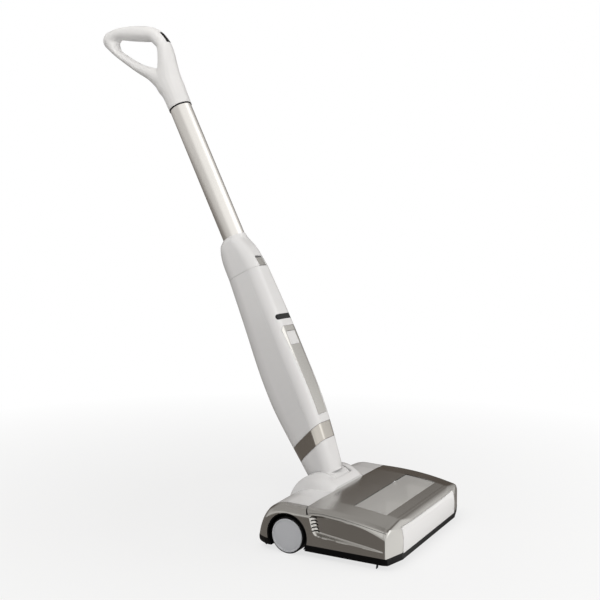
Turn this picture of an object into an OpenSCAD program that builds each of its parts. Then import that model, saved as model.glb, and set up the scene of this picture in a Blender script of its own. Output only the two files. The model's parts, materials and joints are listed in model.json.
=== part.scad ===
/* [Floor head] */
// Width of the floor head
head_w = 330; // [300:1:400]
// Wheel axle to the front face
front_reach = 184.5; // [170:0.5:200]
// Wheel axle to the back of the head
rear_reach = 59; // [57:0.5:64]
// Height of the flat top of the head
head_top = 81; // [79:0.5:88]
// Height of the base above the floor
ground_gap = 9; // [7:0.5:12]
// Height of the black base band
band_h = 11.5; // [8:0.5:12]
// Wall of the plastic covers
wall = 2.5; // [2:0.1:3]
// Gap between parts of one body
seam = 0.2; // [0.1:0.05:0.4]

/* [Wheels] */
// Radius of the tyre
wheel_r = 30; // [25:0.5:32]
// Width of the tyre
wheel_w = 22; // [16:0.5:26]
// Radius of the axle pin
axle_r = 3; // [2:0.1:4]
// Radial clearance of every running fit
run_gap = 0.06; // [0.02:0.01:0.1]

/* [Brush and dust drawer] */
// Radius of the bristle tips
bristle_r = 23.5; // [20:0.5:24]
// Radius of the brush core
core_r = 14; // [10:0.5:16]
// Number of bristle rows
bristle_rows = 4; // [2:1:6]
// Wheel axle to the brush axle
brush_y = -66; // [-68:0.5:-64]
// Height of the dust drawer's face
drawer_h = 39; // [34:0.5:41]
// Half of the window's width
window_x = 111; // [80:1:115]

/* [Stick] */
// Lean of the stick from the vertical
lean = 26; // [20:0.5:35]
// Height of the pivot axis
pivot_z = 73; // [71:0.5:76]
// Radius of the pivot tube
pivot_r = 8; // [6:0.5:10]
// Widest width of the body
body_w = 70; // [68:0.5:82]
// Radius of the pole
pole_r = 21; // [16:0.5:22]
// Length of the bare pole between collar and handle
pole_len = 275; // [180:1:400]
// Length of one battery cell
cell_len = 65; // [50:0.5:68]
// Radius of one battery cell
cell_r = 9.2; // [8:0.1:9.5]

/* [Hidden] */

$fn = 48;
e = 0.01;

// Floor head
hw = head_w / 2;
base_top = ground_gap + band_h;
floor_top = ground_gap + wall;
front_chamfer_x = 40;
front_chamfer_y = 10;
lid_rear = -32;
nose_r = 16.5;
rear_arc_y = 5;
rear_arc_z = 24;
rear_round = 12;
side_drop = 1.5;
base_taper = 3;
deck_x = hw - 16;

// Wheels and wells
well_r = wheel_r + 5;
well_t = 2;
arch_r = well_r + well_t + 0.3;
well_x = hw - wheel_w - 9;
tyre_t = 2.4;
hub_out = hw - 2.5;

// Belt side
belt_x = hw - 41;
belt_w = 6;
belt_t = 1.4;
motor_y = 4;
motor_z = pivot_z - 25;
motor_r = 17;
motor_pulley_r = 5.75;
brush_pulley_r = 2 * motor_pulley_r;
flange = 1.5;
pulley_w = belt_w + 3;

// Brush and shroud
brush_z = bristle_r + 1.5;
brush_half = belt_x - 10;
brush_axle_r = 4;
shroud_r = bristle_r + 4;
mouth_half_y = bristle_r + 5.5;
mouth_x = brush_half + 0.5;
bearing_x = belt_x + 7;
bearing_w = 7;

// Dust drawer
drawer_x = belt_x - 6;
drawer_floor = base_top + 0.6;
drawer_top = base_top + drawer_h;
drawer_back = brush_y - shroud_r - 4;
drawer_wall = 2;
window_rear = -94;
window_front = -152;

// Pivot
pivot_y = 4;
drum_r = 31;
drum_x = 31.5;
slot_x = drum_x + 1.8;
slot_r = drum_r + 2.5;
hood_y = 8;
hood_z = pivot_z - 22;
hood_r = 52.5;
hood_x = 73;
hood_round = 35;
ear_in = slot_x + 3.2;
ear_out = ear_in + 14;
ear_r = pivot_r + 6;

// Stick, measured up the stick from the pivot; +t is towards the front
neck_bottom = 66;
band_top = 94;
band_tilt = 18.6;
body_top = 410;
collar_top = 482;
pole_t = 11.35;
pole_wall = 1.2;
pole_base = body_top - 14;
pole_end = collar_top + pole_len;
ring_h = 2.4;
front_r = 20;
latch_low = 385;
latch_high = 427;
latch_x = 11;
latch_travel = 2;
button_s = 267.5;
button_h = 25;
button_x = 13;
button_travel = 1.5;
display_s = 309;
display_x = 25.5;
display_h = 9.4;
inlay_low = 122;
inlay_high = 291;
inlay_t = 1.2;
board_t_face = 33;
cell_gap = 0.6;
cell_floor = 126;
cell_back = 4;
case_wall = 1.4;
body_screw_s = [104, 370];
body_screw_y = 9;

// Rows of the stick's form: height, half width, rear round centre, front round centre
STICK = [[20, 30.2, 0, 7], [34, 31, -0.2, 10], [110, 33.5, -6.5, 20], [160, 35, -10.5, 24],
    [240, 35, -7.5, 25], [320, 33.4, -2, 26], [410, 30, 1, 25.5]];
COLLAR = [[410, 30, 1, 25.5], [449, 28.5, 1, 20.1], [474, 26.8, 6.7, 12],
    [collar_top, pole_r + 1.4, pole_t, pole_t]];

// Handle stations: height above the pole's end, offset to the front, radius in plane, half width
H_BASE = [[0, 0, 22.4, 22.4], [36, 0, 24.3, 22], [59, -2.5, 28, 20.5]];
H_FRONT = [[79, 6.5, 21, 19], [101, 14.5, 17, 17.5], [123, 19, 13.8, 15.5], [142, 13.5, 14, 15]];
H_GRIP = [[155, 5.5, 13.6, 15], [167, -11, 15, 15], [186, -40, 14.2, 14.5], [200, -65, 11.8, 14],
    [200, -87.5, 17.5, 14]];
H_STRUT = [[175, -86, 8.2, 13.5], [154, -75.5, 7.7, 13], [116, -51.5, 9.2, 14], [88, -28.5, 13, 16],
    [66, -11, 21, 19]];
switch_at = [135.5, 29.6];
switch_travel = 2;

// The row's origin is under the middle of the whole sweeper's box
back_y = pivot_y + (pole_end + H_GRIP[4][0]) * sin(lean) - (pole_t + H_GRIP[4][1]) * cos(lean)
    + H_GRIP[4][2];
mid_y = (back_y - front_reach) / 2;

// Height of the head's top line at y, and how much lower its long edges lie
function lid_z(y) = head_top - 9 * pow(max(0, lid_rear - y) / 120, 2.3);
function side_z(y) = side_drop + 4 * pow(max(0, lid_rear - y) / 140, 2);

// Half width at y: the front corners are cut off, the back corners are rounded
function half_w(y) = hw - front_chamfer_x * max(0, front_chamfer_y - front_reach - y) / front_chamfer_y
    - rear_round * pow(max(0, y - rear_reach + 24) / 24, 1.6);

module at_floor() { translate([0, -mid_y, 0]) children(); }
module on_stick() { at_floor() translate([0, pivot_y, pivot_z]) rotate([-lean, 0, 0]) children(); }
module both_sides() { children(); mirror([1, 0, 0]) children(); }
module along_x(r, x0, x1) { translate([x0, 0, 0]) rotate([0, 90, 0]) cylinder(r = r, h = x1 - x0); }
module block(x0, x1, y0, y1, z0, z1) { translate([x0, y0, z0]) cube([x1 - x0, y1 - y0, z1 - z0]); }
module side_plate(x0, x1, pts) {
    translate([x0, 0, 0]) rotate([90, 0, 90]) linear_extrude(x1 - x0) polygon(pts);
}
module rounded(w, h, r) {
    square([w - 2 * r, h], center = true);
    square([w, h - 2 * r], center = true);
    for (x = [-1, 1], y = [-1, 1]) translate([x * (w / 2 - r), y * (h / 2 - r)]) circle(r);
}

// One upright slice of the head: y, half width, top height; i is the inset from the outer skin
module head_slice(y, half, top, i) {
    drop = side_z(y);
    translate([0, y, 0]) rotate([90, 0, 0]) linear_extrude(0.02)
        polygon([[base_taper - half, ground_gap + i], [half - base_taper, ground_gap + i],
            [half, base_top - 1], [half, top - drop - 12],
            [half - 7, top - drop - 3.5], [half - 15, top - drop], [half - 55, top],
            [55 - half, top], [15 - half, top - drop], [7 - half, top - drop - 3.5],
            [-half, top - drop - 12], [-half, base_top - 1]]);
}
module head_form(i) {
    nose_y = -front_reach + nose_r + 1;
    nose_z = lid_z(nose_y) - nose_r;
    rear_a = rear_reach - rear_arc_y;
    rear_b = head_top + 1 - rear_arc_z;
    hull() {
        for (y = [lid_rear, -62, -94, -126, nose_y]) head_slice(y, hw - i, lid_z(y) - i, i);
        for (a = [30, 50]) {
            y = nose_y - (nose_r - i) * sin(a);
            drop = (nose_r - i) * (1 - cos(a));
            head_slice(y, half_w(y) - i, lid_z(nose_y) - i - drop, i);
        }
        head_slice(-front_reach + i + 0.02, hw - front_chamfer_x - i * 0.6, nose_z, i);
        for (a = [0, 20, 35, 46, 57, 69, 90]) {
            y = rear_arc_y + (rear_a - i) * sin(a);
            head_slice(y, half_w(y) - i, max(rear_arc_z + (rear_b - i) * cos(a), base_top + 7), i);
        }
    }
}
module head_shell() { difference() { head_form(0); head_form(wall); } }

// Outline of the scooped recess and the seam above it, in y and z
scoop_top = [[-40, 72.5], [-61, 73.5], [-96, 71], [-131, 66], [-172, 58.5]];
scoop_low = [[-172, 28.5], [-156, 30], [-60, 36], [-50, 38], [-46.5, 47]];
seam_y = -37.5;

module base_plate() {
    color("#17181a") at_floor() {
        difference() {
            intersection() {
                head_shell();
                block(-hw, hw, -front_reach, rear_reach + 1, 0, base_top);
            }
            translate([0, brush_y, 0])
                block(-mouth_x, mouth_x, -mouth_half_y, mouth_half_y, 0, floor_top + 1);
            both_sides() translate([0, 0, wheel_r]) along_x(arch_r, well_x - 2 * wall, hw + 1);
            block(-drawer_x - 0.9, drawer_x + 0.9, -front_reach - 1, -front_reach + wall + 0.4,
                base_top - 2.8, base_top + 1);
            for (p = screw_points()) {
                translate([p[0], p[1], 0]) cylinder(r = 1.9, h = 20);
                translate([p[0], p[1], 0]) cylinder(r = 3.8, h = ground_gap + 1.4);
            }
        }
        // runners under the drawer
        both_sides() block(drawer_x - 16, drawer_x - 12, -front_reach + 8, drawer_back - 2,
            floor_top - e, drawer_floor - 0.3);
        // heels behind the wheels
        both_sides() intersection() {
            side_plate(hw - 30, hw - 13, [[wheel_r + 9, ground_gap + 2], [46, 4],
                [rear_reach - 2, ground_gap + 2], [rear_reach - 2, ground_gap + 4],
                [wheel_r + 9, ground_gap + 4]]);
            block(-hw, hw, wheel_r, rear_reach, 0, 40);
        }
    }
}
function screw_points() = [for (x = [-1, 1]) each [[x * (hw - 20), -150], [x * (hw - 20), -98],
    [x * (hood_x + 18), 38]]];

module front_glides() {
    color("#202123") at_floor() both_sides() translate([hw - 70, -150, 0])
        linear_extrude(ground_gap) rounded(44, 14, 6);
}
module edge_bristles() {
    color("#101010") at_floor() both_sides() for (k = [0:3])
        translate([hw - 13 + k * 1.6, -155, 0.8]) rotate([8, 0, 0])
            cylinder(r = 0.75, h = ground_gap - 0.95);
}
module ballast_plate() {
    color("#6b6e72") at_floor()
        block(-drawer_x + 24, drawer_x - 24, -front_reach + 10, drawer_back - 4, floor_top,
            floor_top + 5);
}
module base_screws() {
    color("#9a9da1") at_floor() for (p = screw_points()) translate([p[0], p[1], 0]) {
        translate([0, 0, ground_gap + 0.1]) cylinder(r = 3.5, h = 1.3);
        translate([0, 0, ground_gap + 1.3]) cylinder(r = 1.5, h = 14);
    }
}
module boss(p, top) {
    difference() {
        translate([p[0], p[1], floor_top]) cylinder(r = 4.2, h = top - floor_top);
        translate([p[0], p[1], 0]) cylinder(r = 1.5, h = ground_gap + 16);
    }
}
module wheel_well() {
    color("#17181a") at_floor() {
        difference() {
            union() {
                translate([0, 0, wheel_r]) along_x(well_r + well_t, well_x - wall, hw - 1);
                translate([0, 0, wheel_r]) along_x(7, well_x - 14, well_x);
            }
            translate([0, 0, wheel_r]) along_x(well_r, well_x, hw + 1);
            translate([0, 0, wheel_r]) along_x(axle_r, well_x - 30, hw);
            block(0, hw + 1, -60, 60, -10, ground_gap + 3);
            block(well_x - 4, hw + 1, -60, 60, -10, ground_gap + 3);
        }
    }
}
module wheel_well_right() { wheel_well(); }
module wheel_well_left() { mirror([1, 0, 0]) wheel_well(); }
module axle_pins() {
    color("#b9bcc0") at_floor() both_sides() translate([0, 0, wheel_r])
        along_x(axle_r, well_x - 12, hub_out - 4.1);
}
module tyre() {
    color("#1a1a1b") at_floor() translate([0, 0, wheel_r]) difference() {
        along_x(wheel_r, hw - wheel_w - 1.5, hw - 1.5);
        along_x(wheel_r - tyre_t, hw - wheel_w - 2, hw);
    }
}
module wheel_hub() {
    color("#8d9096") at_floor() translate([0, 0, wheel_r]) difference() {
        union() {
            difference() {
                along_x(wheel_r - tyre_t, hw - wheel_w, hub_out);
                along_x(wheel_r - tyre_t - 2.5, hw - wheel_w - 1, hub_out - 3);
            }
            along_x(8, hw - wheel_w - 3, hub_out - 1);
        }
        along_x(axle_r + run_gap, hw - wheel_w - 4, hub_out - 3.8);
    }
}
module wheel_cap() {
    color("#b4b6bb") at_floor() translate([0, 0, wheel_r]) difference() {
        along_x(wheel_r - tyre_t - 0.1, hub_out, hw);
        along_x(wheel_r - tyre_t - 3, hw - 0.9, hw + 1);
    }
}
module tyre_right() { tyre(); }
module tyre_left() { mirror([1, 0, 0]) tyre(); }
module wheel_hub_right() { wheel_hub(); }
module wheel_hub_left() { mirror([1, 0, 0]) wheel_hub(); }
module wheel_cap_right() { wheel_cap(); }
module wheel_cap_left() { mirror([1, 0, 0]) wheel_cap(); }

module window_prism(gap) {
    block(-window_x + gap, window_x - gap, window_front + gap, window_rear - gap, 50, 120);
}
module top_cover() {
    color("#a39e94") at_floor() {
        difference() {
            intersection() {
                head_shell();
                union() {
                    side_plate(-hw - 1, hw + 1, concat([[seam_y, 70.5], [lid_rear - 0.3, 78],
                        [lid_rear - 0.3, 120], [-front_reach - 1, 120],
                        [-front_reach - 1, scoop_top[4][1]]], [for (k = [4:-1:0]) scoop_top[k]]));
                    block(-deck_x, deck_x, seam_y - 1, lid_rear - 0.3, 60, 120);
                    block(-hw - 1, hw + 1, -front_reach - 1, -172, base_top + seam, 80);
                }
            }
            block(-drawer_x - 1, drawer_x + 1, -front_reach - 1, -172, 0, drawer_top + 0.4);
            window_prism(0);
        }
        // screw bosses hang under the lid
        for (p = screw_points()) if (p[1] < 0) intersection() {
            head_form(wall - 0.4);
            boss(p, 120);
        }
    }
}
module window() {
    color("#c9c7c2", 0.6) at_floor() intersection() {
        head_shell();
        window_prism(seam);
    }
}
module side_cover() {
    color("#98938a") at_floor() {
        difference() {
            union() {
                intersection() {
                    head_shell();
                    union() {
                        side_plate(deck_x + 0.3, hw + 1, [[rear_reach + 1, base_top + seam],
                            [rear_reach + 1, 120], [lid_rear + 0.6, 120], [lid_rear + 0.6, 78.2],
                            [seam_y + 0.8, 70.2], [seam_y + 0.8, base_top + seam]]);
                        side_plate(deck_x, hw + 1, concat([[-171.7, base_top + seam],
                            [seam_y + 1, base_top + seam], [seam_y + 1, 69.5], [seam_y, 70]],
                            [for (p = scoop_top) if (p[0] > -172) [p[0], p[1] - 0.4]],
                            [[-171.7, scoop_top[4][1] - 0.4]]));
                    }
                }
                // the recess turns inwards towards its rear end
                intersection() {
                    side_plate(deck_x - 10, hw, concat([for (p = scoop_top) [p[0], p[1] - 0.4]],
                        scoop_low));
                    linear_extrude(100) polygon([[hw - 0.6, -171.7], [hw - 0.6 - wall, -171.7],
                        [hw - 9 - wall, -50], [hw - 0.6 - wall, -39], [hw - 0.6, -39]]);
                }
            }
            // recess
            intersection() {
                side_plate(deck_x - 10, hw + 1, concat([for (p = scoop_top) [p[0], p[1] - 2.4]],
                    [for (p = scoop_low) [p[0], p[1] + 1]]));
                linear_extrude(100) polygon([[hw - 0.6, -170], [hw - 9, -52], [hw - 3, -42],
                    [hw + 1, -41], [hw + 1, -170]]);
            }
            // slanted vents
            for (k = [0:4]) translate([hw - 20, -54.5 + k * 1.2, 44 + k * 5.5]) rotate([14, 0, 0])
                cube([30, 9, 1.8]);
            // wheel opening
            translate([0, 0, wheel_r]) along_x(arch_r, deck_x - 20, hw + 1);
        }
    }
}
module side_cover_right() { side_cover(); }
module side_cover_left() { mirror([1, 0, 0]) side_cover(); }

module hood_form(i) {
    intersection() {
        translate([0, hood_y, hood_z]) rotate([0, 90, 0]) rotate_extrude() intersection() {
            rounded(2 * (hood_r - i), 2 * (hood_x - i), hood_round - i);
            translate([0, -100]) square(200);
        }
        // the back runs down into the back of the head
        union() {
            block(-hood_x, hood_x, -60, rear_arc_y, 0, 160);
            translate([-hood_x, rear_arc_y, rear_arc_z]) rotate([90, 0, 90])
                linear_extrude(2 * hood_x) scale([rear_reach - rear_arc_y - i,
                    hood_z + hood_r - rear_arc_z - i]) circle(1);
        }
    }
}
module pivot_housing() {
    color("#ecebe9") at_floor() {
        difference() {
            union() {
                difference() {
                    union() {
                        intersection() {
                            head_form(0);
                            block(-deck_x, deck_x, lid_rear, rear_reach + 1, base_top + seam, 120);
                        }
                        intersection() {
                            hood_form(0);
                            block(-hw, hw, lid_rear, rear_reach + 1, rear_arc_z, 160);
                        }
                    }
                    intersection() {
                        head_form(wall);
                        block(-hw, hw, lid_rear - 1, rear_reach + 1, 0, 160);
                    }
                    hood_form(3);
                }
                // cheek walls beside the slot
                both_sides() intersection() {
                    union() { head_form(0.5); hood_form(0.5); }
                    block(slot_x, slot_x + 2.5, lid_rear + 0.5, rear_reach - 1, pivot_z - 34, 160);
                }
            }
            block(-slot_x, slot_x, pivot_y, rear_reach + 2, pivot_z - 34, 160);
            translate([0, pivot_y, pivot_z]) along_x(slot_r, -slot_x, slot_x);
            translate([0, pivot_y, pivot_z]) along_x(pivot_r + 1, -slot_x - 4, slot_x + 4);
            // room for the wheel wells
            both_sides() translate([0, 0, wheel_r]) along_x(arch_r, well_x - wall - 0.5, hw);
        }
        for (p = screw_points()) if (p[1] > 0) intersection() {
            head_form(wall - 0.4);
            boss(p, 120);
        }
    }
}
module pivot_cradle() {
    color("#3a3b3d") at_floor() {
        difference() {
            union() {
                block(-ear_out, ear_out, -24, 30, floor_top, floor_top + 4);
                both_sides() {
                    block(ear_in, ear_out, pivot_y - ear_r, pivot_y + ear_r, floor_top, pivot_z);
                    translate([0, pivot_y, pivot_z]) along_x(ear_r, ear_in, ear_out);
                }
                block(-3, 3, -20, 28, floor_top, pivot_z - slot_r - 1);
                // trough under the drum
                intersection() {
                    translate([0, pivot_y, pivot_z])
                        along_x(slot_r + 2.3, -slot_x + 0.3, slot_x - 0.3);
                    block(-slot_x, slot_x, -60, pivot_y, 20, pivot_z - 6);
                }
                block(-slot_x + 0.3, slot_x - 0.3, pivot_y, rear_reach - 4, pivot_z - slot_r - 2.3,
                    pivot_z - slot_r);
            }
            translate([0, pivot_y, pivot_z]) along_x(slot_r, -slot_x, slot_x);
            translate([0, pivot_y, pivot_z]) along_x(pivot_r + run_gap, -ear_out - 1, ear_out + 1);
        }
    }
}
module brush_shroud() {
    color("#2c2d2f") at_floor() translate([0, brush_y, brush_z]) difference() {
        union() {
            difference() {
                along_x(shroud_r + 1.8, -brush_half - 2.5, brush_half + 2.5);
                along_x(shroud_r, -brush_half - 0.7, brush_half + 0.7);
            }
        }
        along_x(core_r - 4, -hw, hw);
        block(-hw, hw, -60, 60, -60, floor_top - brush_z);
        block(-brush_half - 0.7, brush_half + 0.7, -60, -shroud_r * 0.5, -60, drawer_top - brush_z - 8);
    }
}
module brush_bearings() {
    color("#3a3b3d") at_floor() translate([0, brush_y, 0]) both_sides() difference() {
        union() {
            block(bearing_x, bearing_x + bearing_w, -9, 9, floor_top, brush_z);
            translate([0, 0, brush_z]) along_x(9, bearing_x, bearing_x + bearing_w);
        }
        translate([0, 0, brush_z]) along_x(brush_axle_r + run_gap, bearing_x - 1,
            bearing_x + bearing_w + 1);
    }
}
module motor() {
    color("#8a8d92") at_floor() translate([0, motor_y, motor_z]) difference() {
        along_x(motor_r, belt_x - 60, belt_x - 10);
        along_x(1.6 + run_gap, belt_x - 30, belt_x);
    }
}
module motor_bracket() {
    color("#5a5c60") at_floor() difference() {
        union() {
            block(belt_x - 9.8, belt_x - 7.5, motor_y - 17, motor_y + 17, floor_top, motor_z + 12);
            block(belt_x - 58, belt_x - 9.8, motor_y - 12, motor_y + 12, floor_top, motor_z - 10);
            block(belt_x - 58, belt_x - 9.8, motor_y - 17, motor_y + 17, floor_top, floor_top + 3);
        }
        translate([0, motor_y, motor_z]) along_x(motor_r + 0.05, belt_x - 60, belt_x - 9.9);
        translate([0, motor_y, motor_z]) along_x(5, belt_x - 12, belt_x);
    }
}
module belt_outline(grow) {
    hull() {
        translate([brush_y, brush_z]) circle(brush_pulley_r + grow);
        translate([motor_y, motor_z]) circle(motor_pulley_r + grow);
    }
}
module drive_belt() {
    color("#151515") at_floor() translate([belt_x - belt_w / 2, 0, 0]) rotate([90, 0, 90])
        linear_extrude(belt_w) difference() {
            belt_outline(0.2 + belt_t);
            belt_outline(0.2);
        }
}
module pulley(r, bore) {
    difference() {
        union() {
            along_x(r, belt_x - pulley_w / 2, belt_x + pulley_w / 2);
            along_x(r + flange, belt_x - pulley_w / 2, belt_x - belt_w / 2 - 0.4);
            along_x(r + flange, belt_x + belt_w / 2 + 0.4, belt_x + pulley_w / 2);
        }
        along_x(bore, belt_x - pulley_w, belt_x + pulley_w);
    }
}
module motor_pulley() {
    color("#c9a24a") at_floor() translate([0, motor_y, motor_z]) {
        pulley(motor_pulley_r, 1.6);
        along_x(1.6, belt_x - 29, belt_x + pulley_w / 2 + 1);
    }
}
module brush_pulley() {
    color("#d8d8d6") at_floor() translate([0, brush_y, brush_z]) pulley(brush_pulley_r, brush_axle_r);
}
module brush_axle() {
    color("#b9bcc0") at_floor() translate([0, brush_y, brush_z])
        along_x(brush_axle_r, -bearing_x - bearing_w, bearing_x + bearing_w);
}
module brush_core() {
    color("#4b4d52") at_floor() translate([0, brush_y, brush_z]) difference() {
        along_x(core_r, -brush_half, brush_half);
        along_x(brush_axle_r, -hw, hw);
    }
}
module bristles() {
    color("#7d8087") at_floor() translate([-brush_half + 3, brush_y, brush_z]) rotate([0, 90, 0])
        for (k = [0:bristle_rows - 1]) rotate([0, 0, k * 360 / bristle_rows])
            linear_extrude(2 * brush_half - 6, twist = 100, slices = 14, segments = 8)
                translate([core_r + 0.12, -1.6]) square([bristle_r - core_r - 0.12, 3.2]);
}
module dust_drawer() {
    color("#e2e1de") at_floor() {
        x = drawer_x - 1;
        y0 = -front_reach + wall + 0.3;
        difference() {
            block(-x, x, y0, drawer_back, drawer_floor, drawer_top - 0.5);
            both_sides() block(drawer_wall / 2, x - drawer_wall, y0 + drawer_wall,
                drawer_back - drawer_wall, drawer_floor + drawer_wall, 200);
            // dirt comes in over the low back wall
            block(-x + 8, x - 8, drawer_back - 5, drawer_back + 1, drawer_floor + 13, 200);
        }
    }
}
module drawer_face() {
    color("#f0efed") at_floor() intersection() {
        difference() { head_form(0); head_form(wall); }
        block(-drawer_x - 0.6, drawer_x + 0.6, -front_reach - 1, -172, base_top - 2.5, drawer_top);
        block(-hw, hw, -front_reach - 1, -front_reach + wall + 0.2, 0, 100);
    }
}
module dust_lip() {
    color("#232426") at_floor()
        block(-drawer_x + 10, drawer_x - 10, drawer_back - 1.9, drawer_back - 0.3,
            drawer_floor + 13 + 0.1, drawer_floor + 19);
}

// Stick form: hull of rounded slices; i is the inset from the outer skin
module stick_slice(row, i) {
    corner = min(front_r, row[1] - 2);
    half = row[1] + (body_w - 70) / 2;
    translate([0, -row[2], row[0]]) cylinder(r = half - i, h = 0.02, $fn = 36);
    for (x = [-1, 1]) translate([x * (half - corner), -row[3], row[0]])
        cylinder(r = corner - i, h = 0.02, $fn = 32);
}
module stick_form(i) { hull() for (row = STICK) stick_slice(row, i); }
module collar_form(i) { hull() for (row = COLLAR) stick_slice(row, i); }
module below_cut(s) { translate([0, 0, s]) rotate([-band_tilt, 0, 0]) block(-90, 90, -150, 150, -200, 0); }
module above_cut(s) { translate([0, 0, s]) rotate([-band_tilt, 0, 0]) block(-90, 90, -150, 150, 0, 600); }

module neck() {
    color("#efeeec") on_stick() difference() {
        union() {
            intersection() { stick_form(0); below_cut(neck_bottom - seam); }
            along_x(drum_r, -drum_x, drum_x);
        }
        intersection() { stick_form(3); below_cut(neck_bottom + 1); }
        along_x(drum_r - 3, -drum_x + 6, drum_x - 6);
        along_x(pivot_r, -drum_x - 1, drum_x + 1);
    }
}
module pivot_tube() {
    color("#b9bcc0") on_stick() difference() {
        along_x(pivot_r, -ear_out, ear_out);
        along_x(pivot_r - 2, -ear_out - 1, ear_out + 1);
    }
}
module band() {
    color("#b8b4ac") on_stick() difference() {
        intersection() {
            stick_form(0);
            above_cut(neck_bottom);
            below_cut(band_top - seam);
        }
        stick_form(2);
    }
}
module body_shell() {
    difference() {
        intersection() { stick_form(0); above_cut(band_top); block(-90, 90, -90, 90, 0, body_top - seam); }
        stick_form(wall);
    }
}
split_t = 24.5;
module body_rear() {
    color("#e6e5e8") on_stick() {
        difference() {
            body_shell();
            block(-90, 90, -90, -split_t + seam, 0, 600);
            translate([0, 30, 345]) rotate([-90, 0, 0]) cylinder(r = 5, h = 30);
            for (s = body_screw_s) translate([0, body_screw_y, s]) rotate([-90, 0, 0])
                cylinder(r = 3.4, h = 60);
        }
        for (s = body_screw_s) difference() {
            intersection() {
                stick_form(wall - 0.4);
                translate([0, body_screw_y - 4, s]) rotate([-90, 0, 0]) cylinder(r = 4.6, h = 60);
            }
            translate([0, body_screw_y, s]) rotate([-90, 0, 0]) cylinder(r = 3.4, h = 60);
            translate([0, 0, s]) rotate([-90, 0, 0]) cylinder(r = 1.8, h = 60);
        }
        // shelves that carry the battery case
        for (s = [cell_floor - case_wall - 2.2, cell_floor + cell_len + case_wall + 0.2])
            intersection() {
                stick_form(wall - 0.4);
                difference() {
                    block(-60, 60, -10, 60, s, s + 2);
                    block(-14, 14, -30, 24, s - 1, s + 4);
                }
            }
    }
}
module inlay_outline(grow) {
    rotate([90, 0, 0]) linear_extrude(60) polygon([
        [-15.5 - grow, inlay_low - grow], [15.5 + grow, inlay_low - grow],
        [19.5 + grow, 216], [24.6 + grow, inlay_high - 8], [20 + grow, inlay_high + grow],
        [-20 - grow, inlay_high + grow], [-24.6 - grow, inlay_high - 8], [-19.5 - grow, 216]]);
}
module button_outline(grow) {
    translate([0, 0, button_s]) rotate([90, 0, 0]) linear_extrude(60)
        rounded(2 * button_x + 2 * grow, button_h + 2 * grow, 4);
}
module display_outline(grow) {
    translate([0, 0, display_s]) rotate([90, 0, 0]) linear_extrude(60)
        rounded(2 * display_x + 2 * grow, display_h + 2 * grow, display_h / 2 + grow - e);
}
module body_front() {
    color("#f0eff1") on_stick() {
        difference() {
            body_shell();
            block(-90, 90, -split_t, 90, 0, 600);
            difference() { inlay_outline(0.15); stick_form(inlay_t + 0.1); }
            button_outline(1.2);
            difference() { display_outline(0.15); stick_form(1.6); }
        }
        for (s = body_screw_s) difference() {
            intersection() {
                stick_form(wall - 0.4);
                translate([0, body_screw_y - 4.2, s]) rotate([90, 0, 0]) cylinder(r = 4.6, h = 80);
            }
            translate([0, body_screw_y, s]) rotate([90, 0, 0]) cylinder(r = 1.5, h = 24);
        }
        // posts that carry the control board
        for (x = [-13, 13], s = [236, 300]) intersection() {
            stick_form(wall - 0.4);
            translate([x, -board_t_face, s]) rotate([90, 0, 0]) cylinder(r = 2.4, h = 30);
        }
    }
}
module inlay() {
    color("#a8a49c") on_stick() difference() {
        intersection() { stick_form(0); inlay_outline(0); }
        stick_form(inlay_t);
        button_outline(0.4);
    }
}
module display() {
    color("#0b0b0c") on_stick() difference() {
        intersection() { stick_form(0); display_outline(0); }
        stick_form(1.5);
    }
}
module power_button() {
    color("#d8d8d6") on_stick() {
        difference() {
            intersection() { stick_form(0); button_outline(0); }
            stick_form(3);
        }
        translate([0, -board_t_face - button_travel - 1.2, button_s]) rotate([90, 0, 0])
            cylinder(r = 2.5, h = 8);
    }
}
module control_board() {
    color("#2f6b45") on_stick() {
        block(-17, 17, -board_t_face, -board_t_face + 1.6, 228, 330);
        translate([0, -board_t_face - 0.8, button_s - 3]) block(-3, 3, 0, 1.6, 0, 6);
    }
}
module cell_places() {
    pitch = 2 * cell_r + cell_gap;
    for (x = [-1:1], y = [0, 1]) translate([x * pitch, cell_back - pitch / 2 + y * pitch, 0]) children();
}
module battery_cells() {
    color("#3f7f9c") on_stick() cell_places()
        translate([0, 0, cell_floor]) cylinder(r = cell_r, h = cell_len);
}
module battery_case() {
    w = 6 * cell_r + 2 * cell_gap + 2 * case_wall + 0.6;
    d = 4 * cell_r + cell_gap + 2 * case_wall + 0.6;
    color("#2b2c2e") on_stick() difference() {
        translate([0, cell_back, cell_floor - case_wall]) linear_extrude(cell_len + 2 * case_wall)
            rounded(w, d, cell_r + case_wall);
        cell_places() translate([0, 0, cell_floor]) cylinder(r = cell_r + 0.2, h = cell_len);
    }
}
module charge_socket() {
    color("#1b1b1c") on_stick() difference() {
        intersection() {
            translate([0, 20, 345]) rotate([-90, 0, 0]) cylinder(r = 4.9, h = 40);
            stick_form(0.6);
        }
        translate([0, 22, 345]) rotate([-90, 0, 0]) cylinder(r = 2.8, h = 40);
    }
}
module body_screws() {
    color("#9a9da1") on_stick() for (s = body_screw_s) translate([0, body_screw_y, s]) {
        rotate([-90, 0, 0]) cylinder(r = 3.2, h = 2.4);
        rotate([90, 0, 0]) cylinder(r = 1.5, h = 20);
    }
}
module latch_outline(grow) {
    translate([0, 0, (latch_low + latch_high) / 2]) rotate([90, 0, 0]) linear_extrude(80)
        rounded(2 * latch_x + 2 * grow, latch_high - latch_low + 2 * grow, 3);
}
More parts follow.
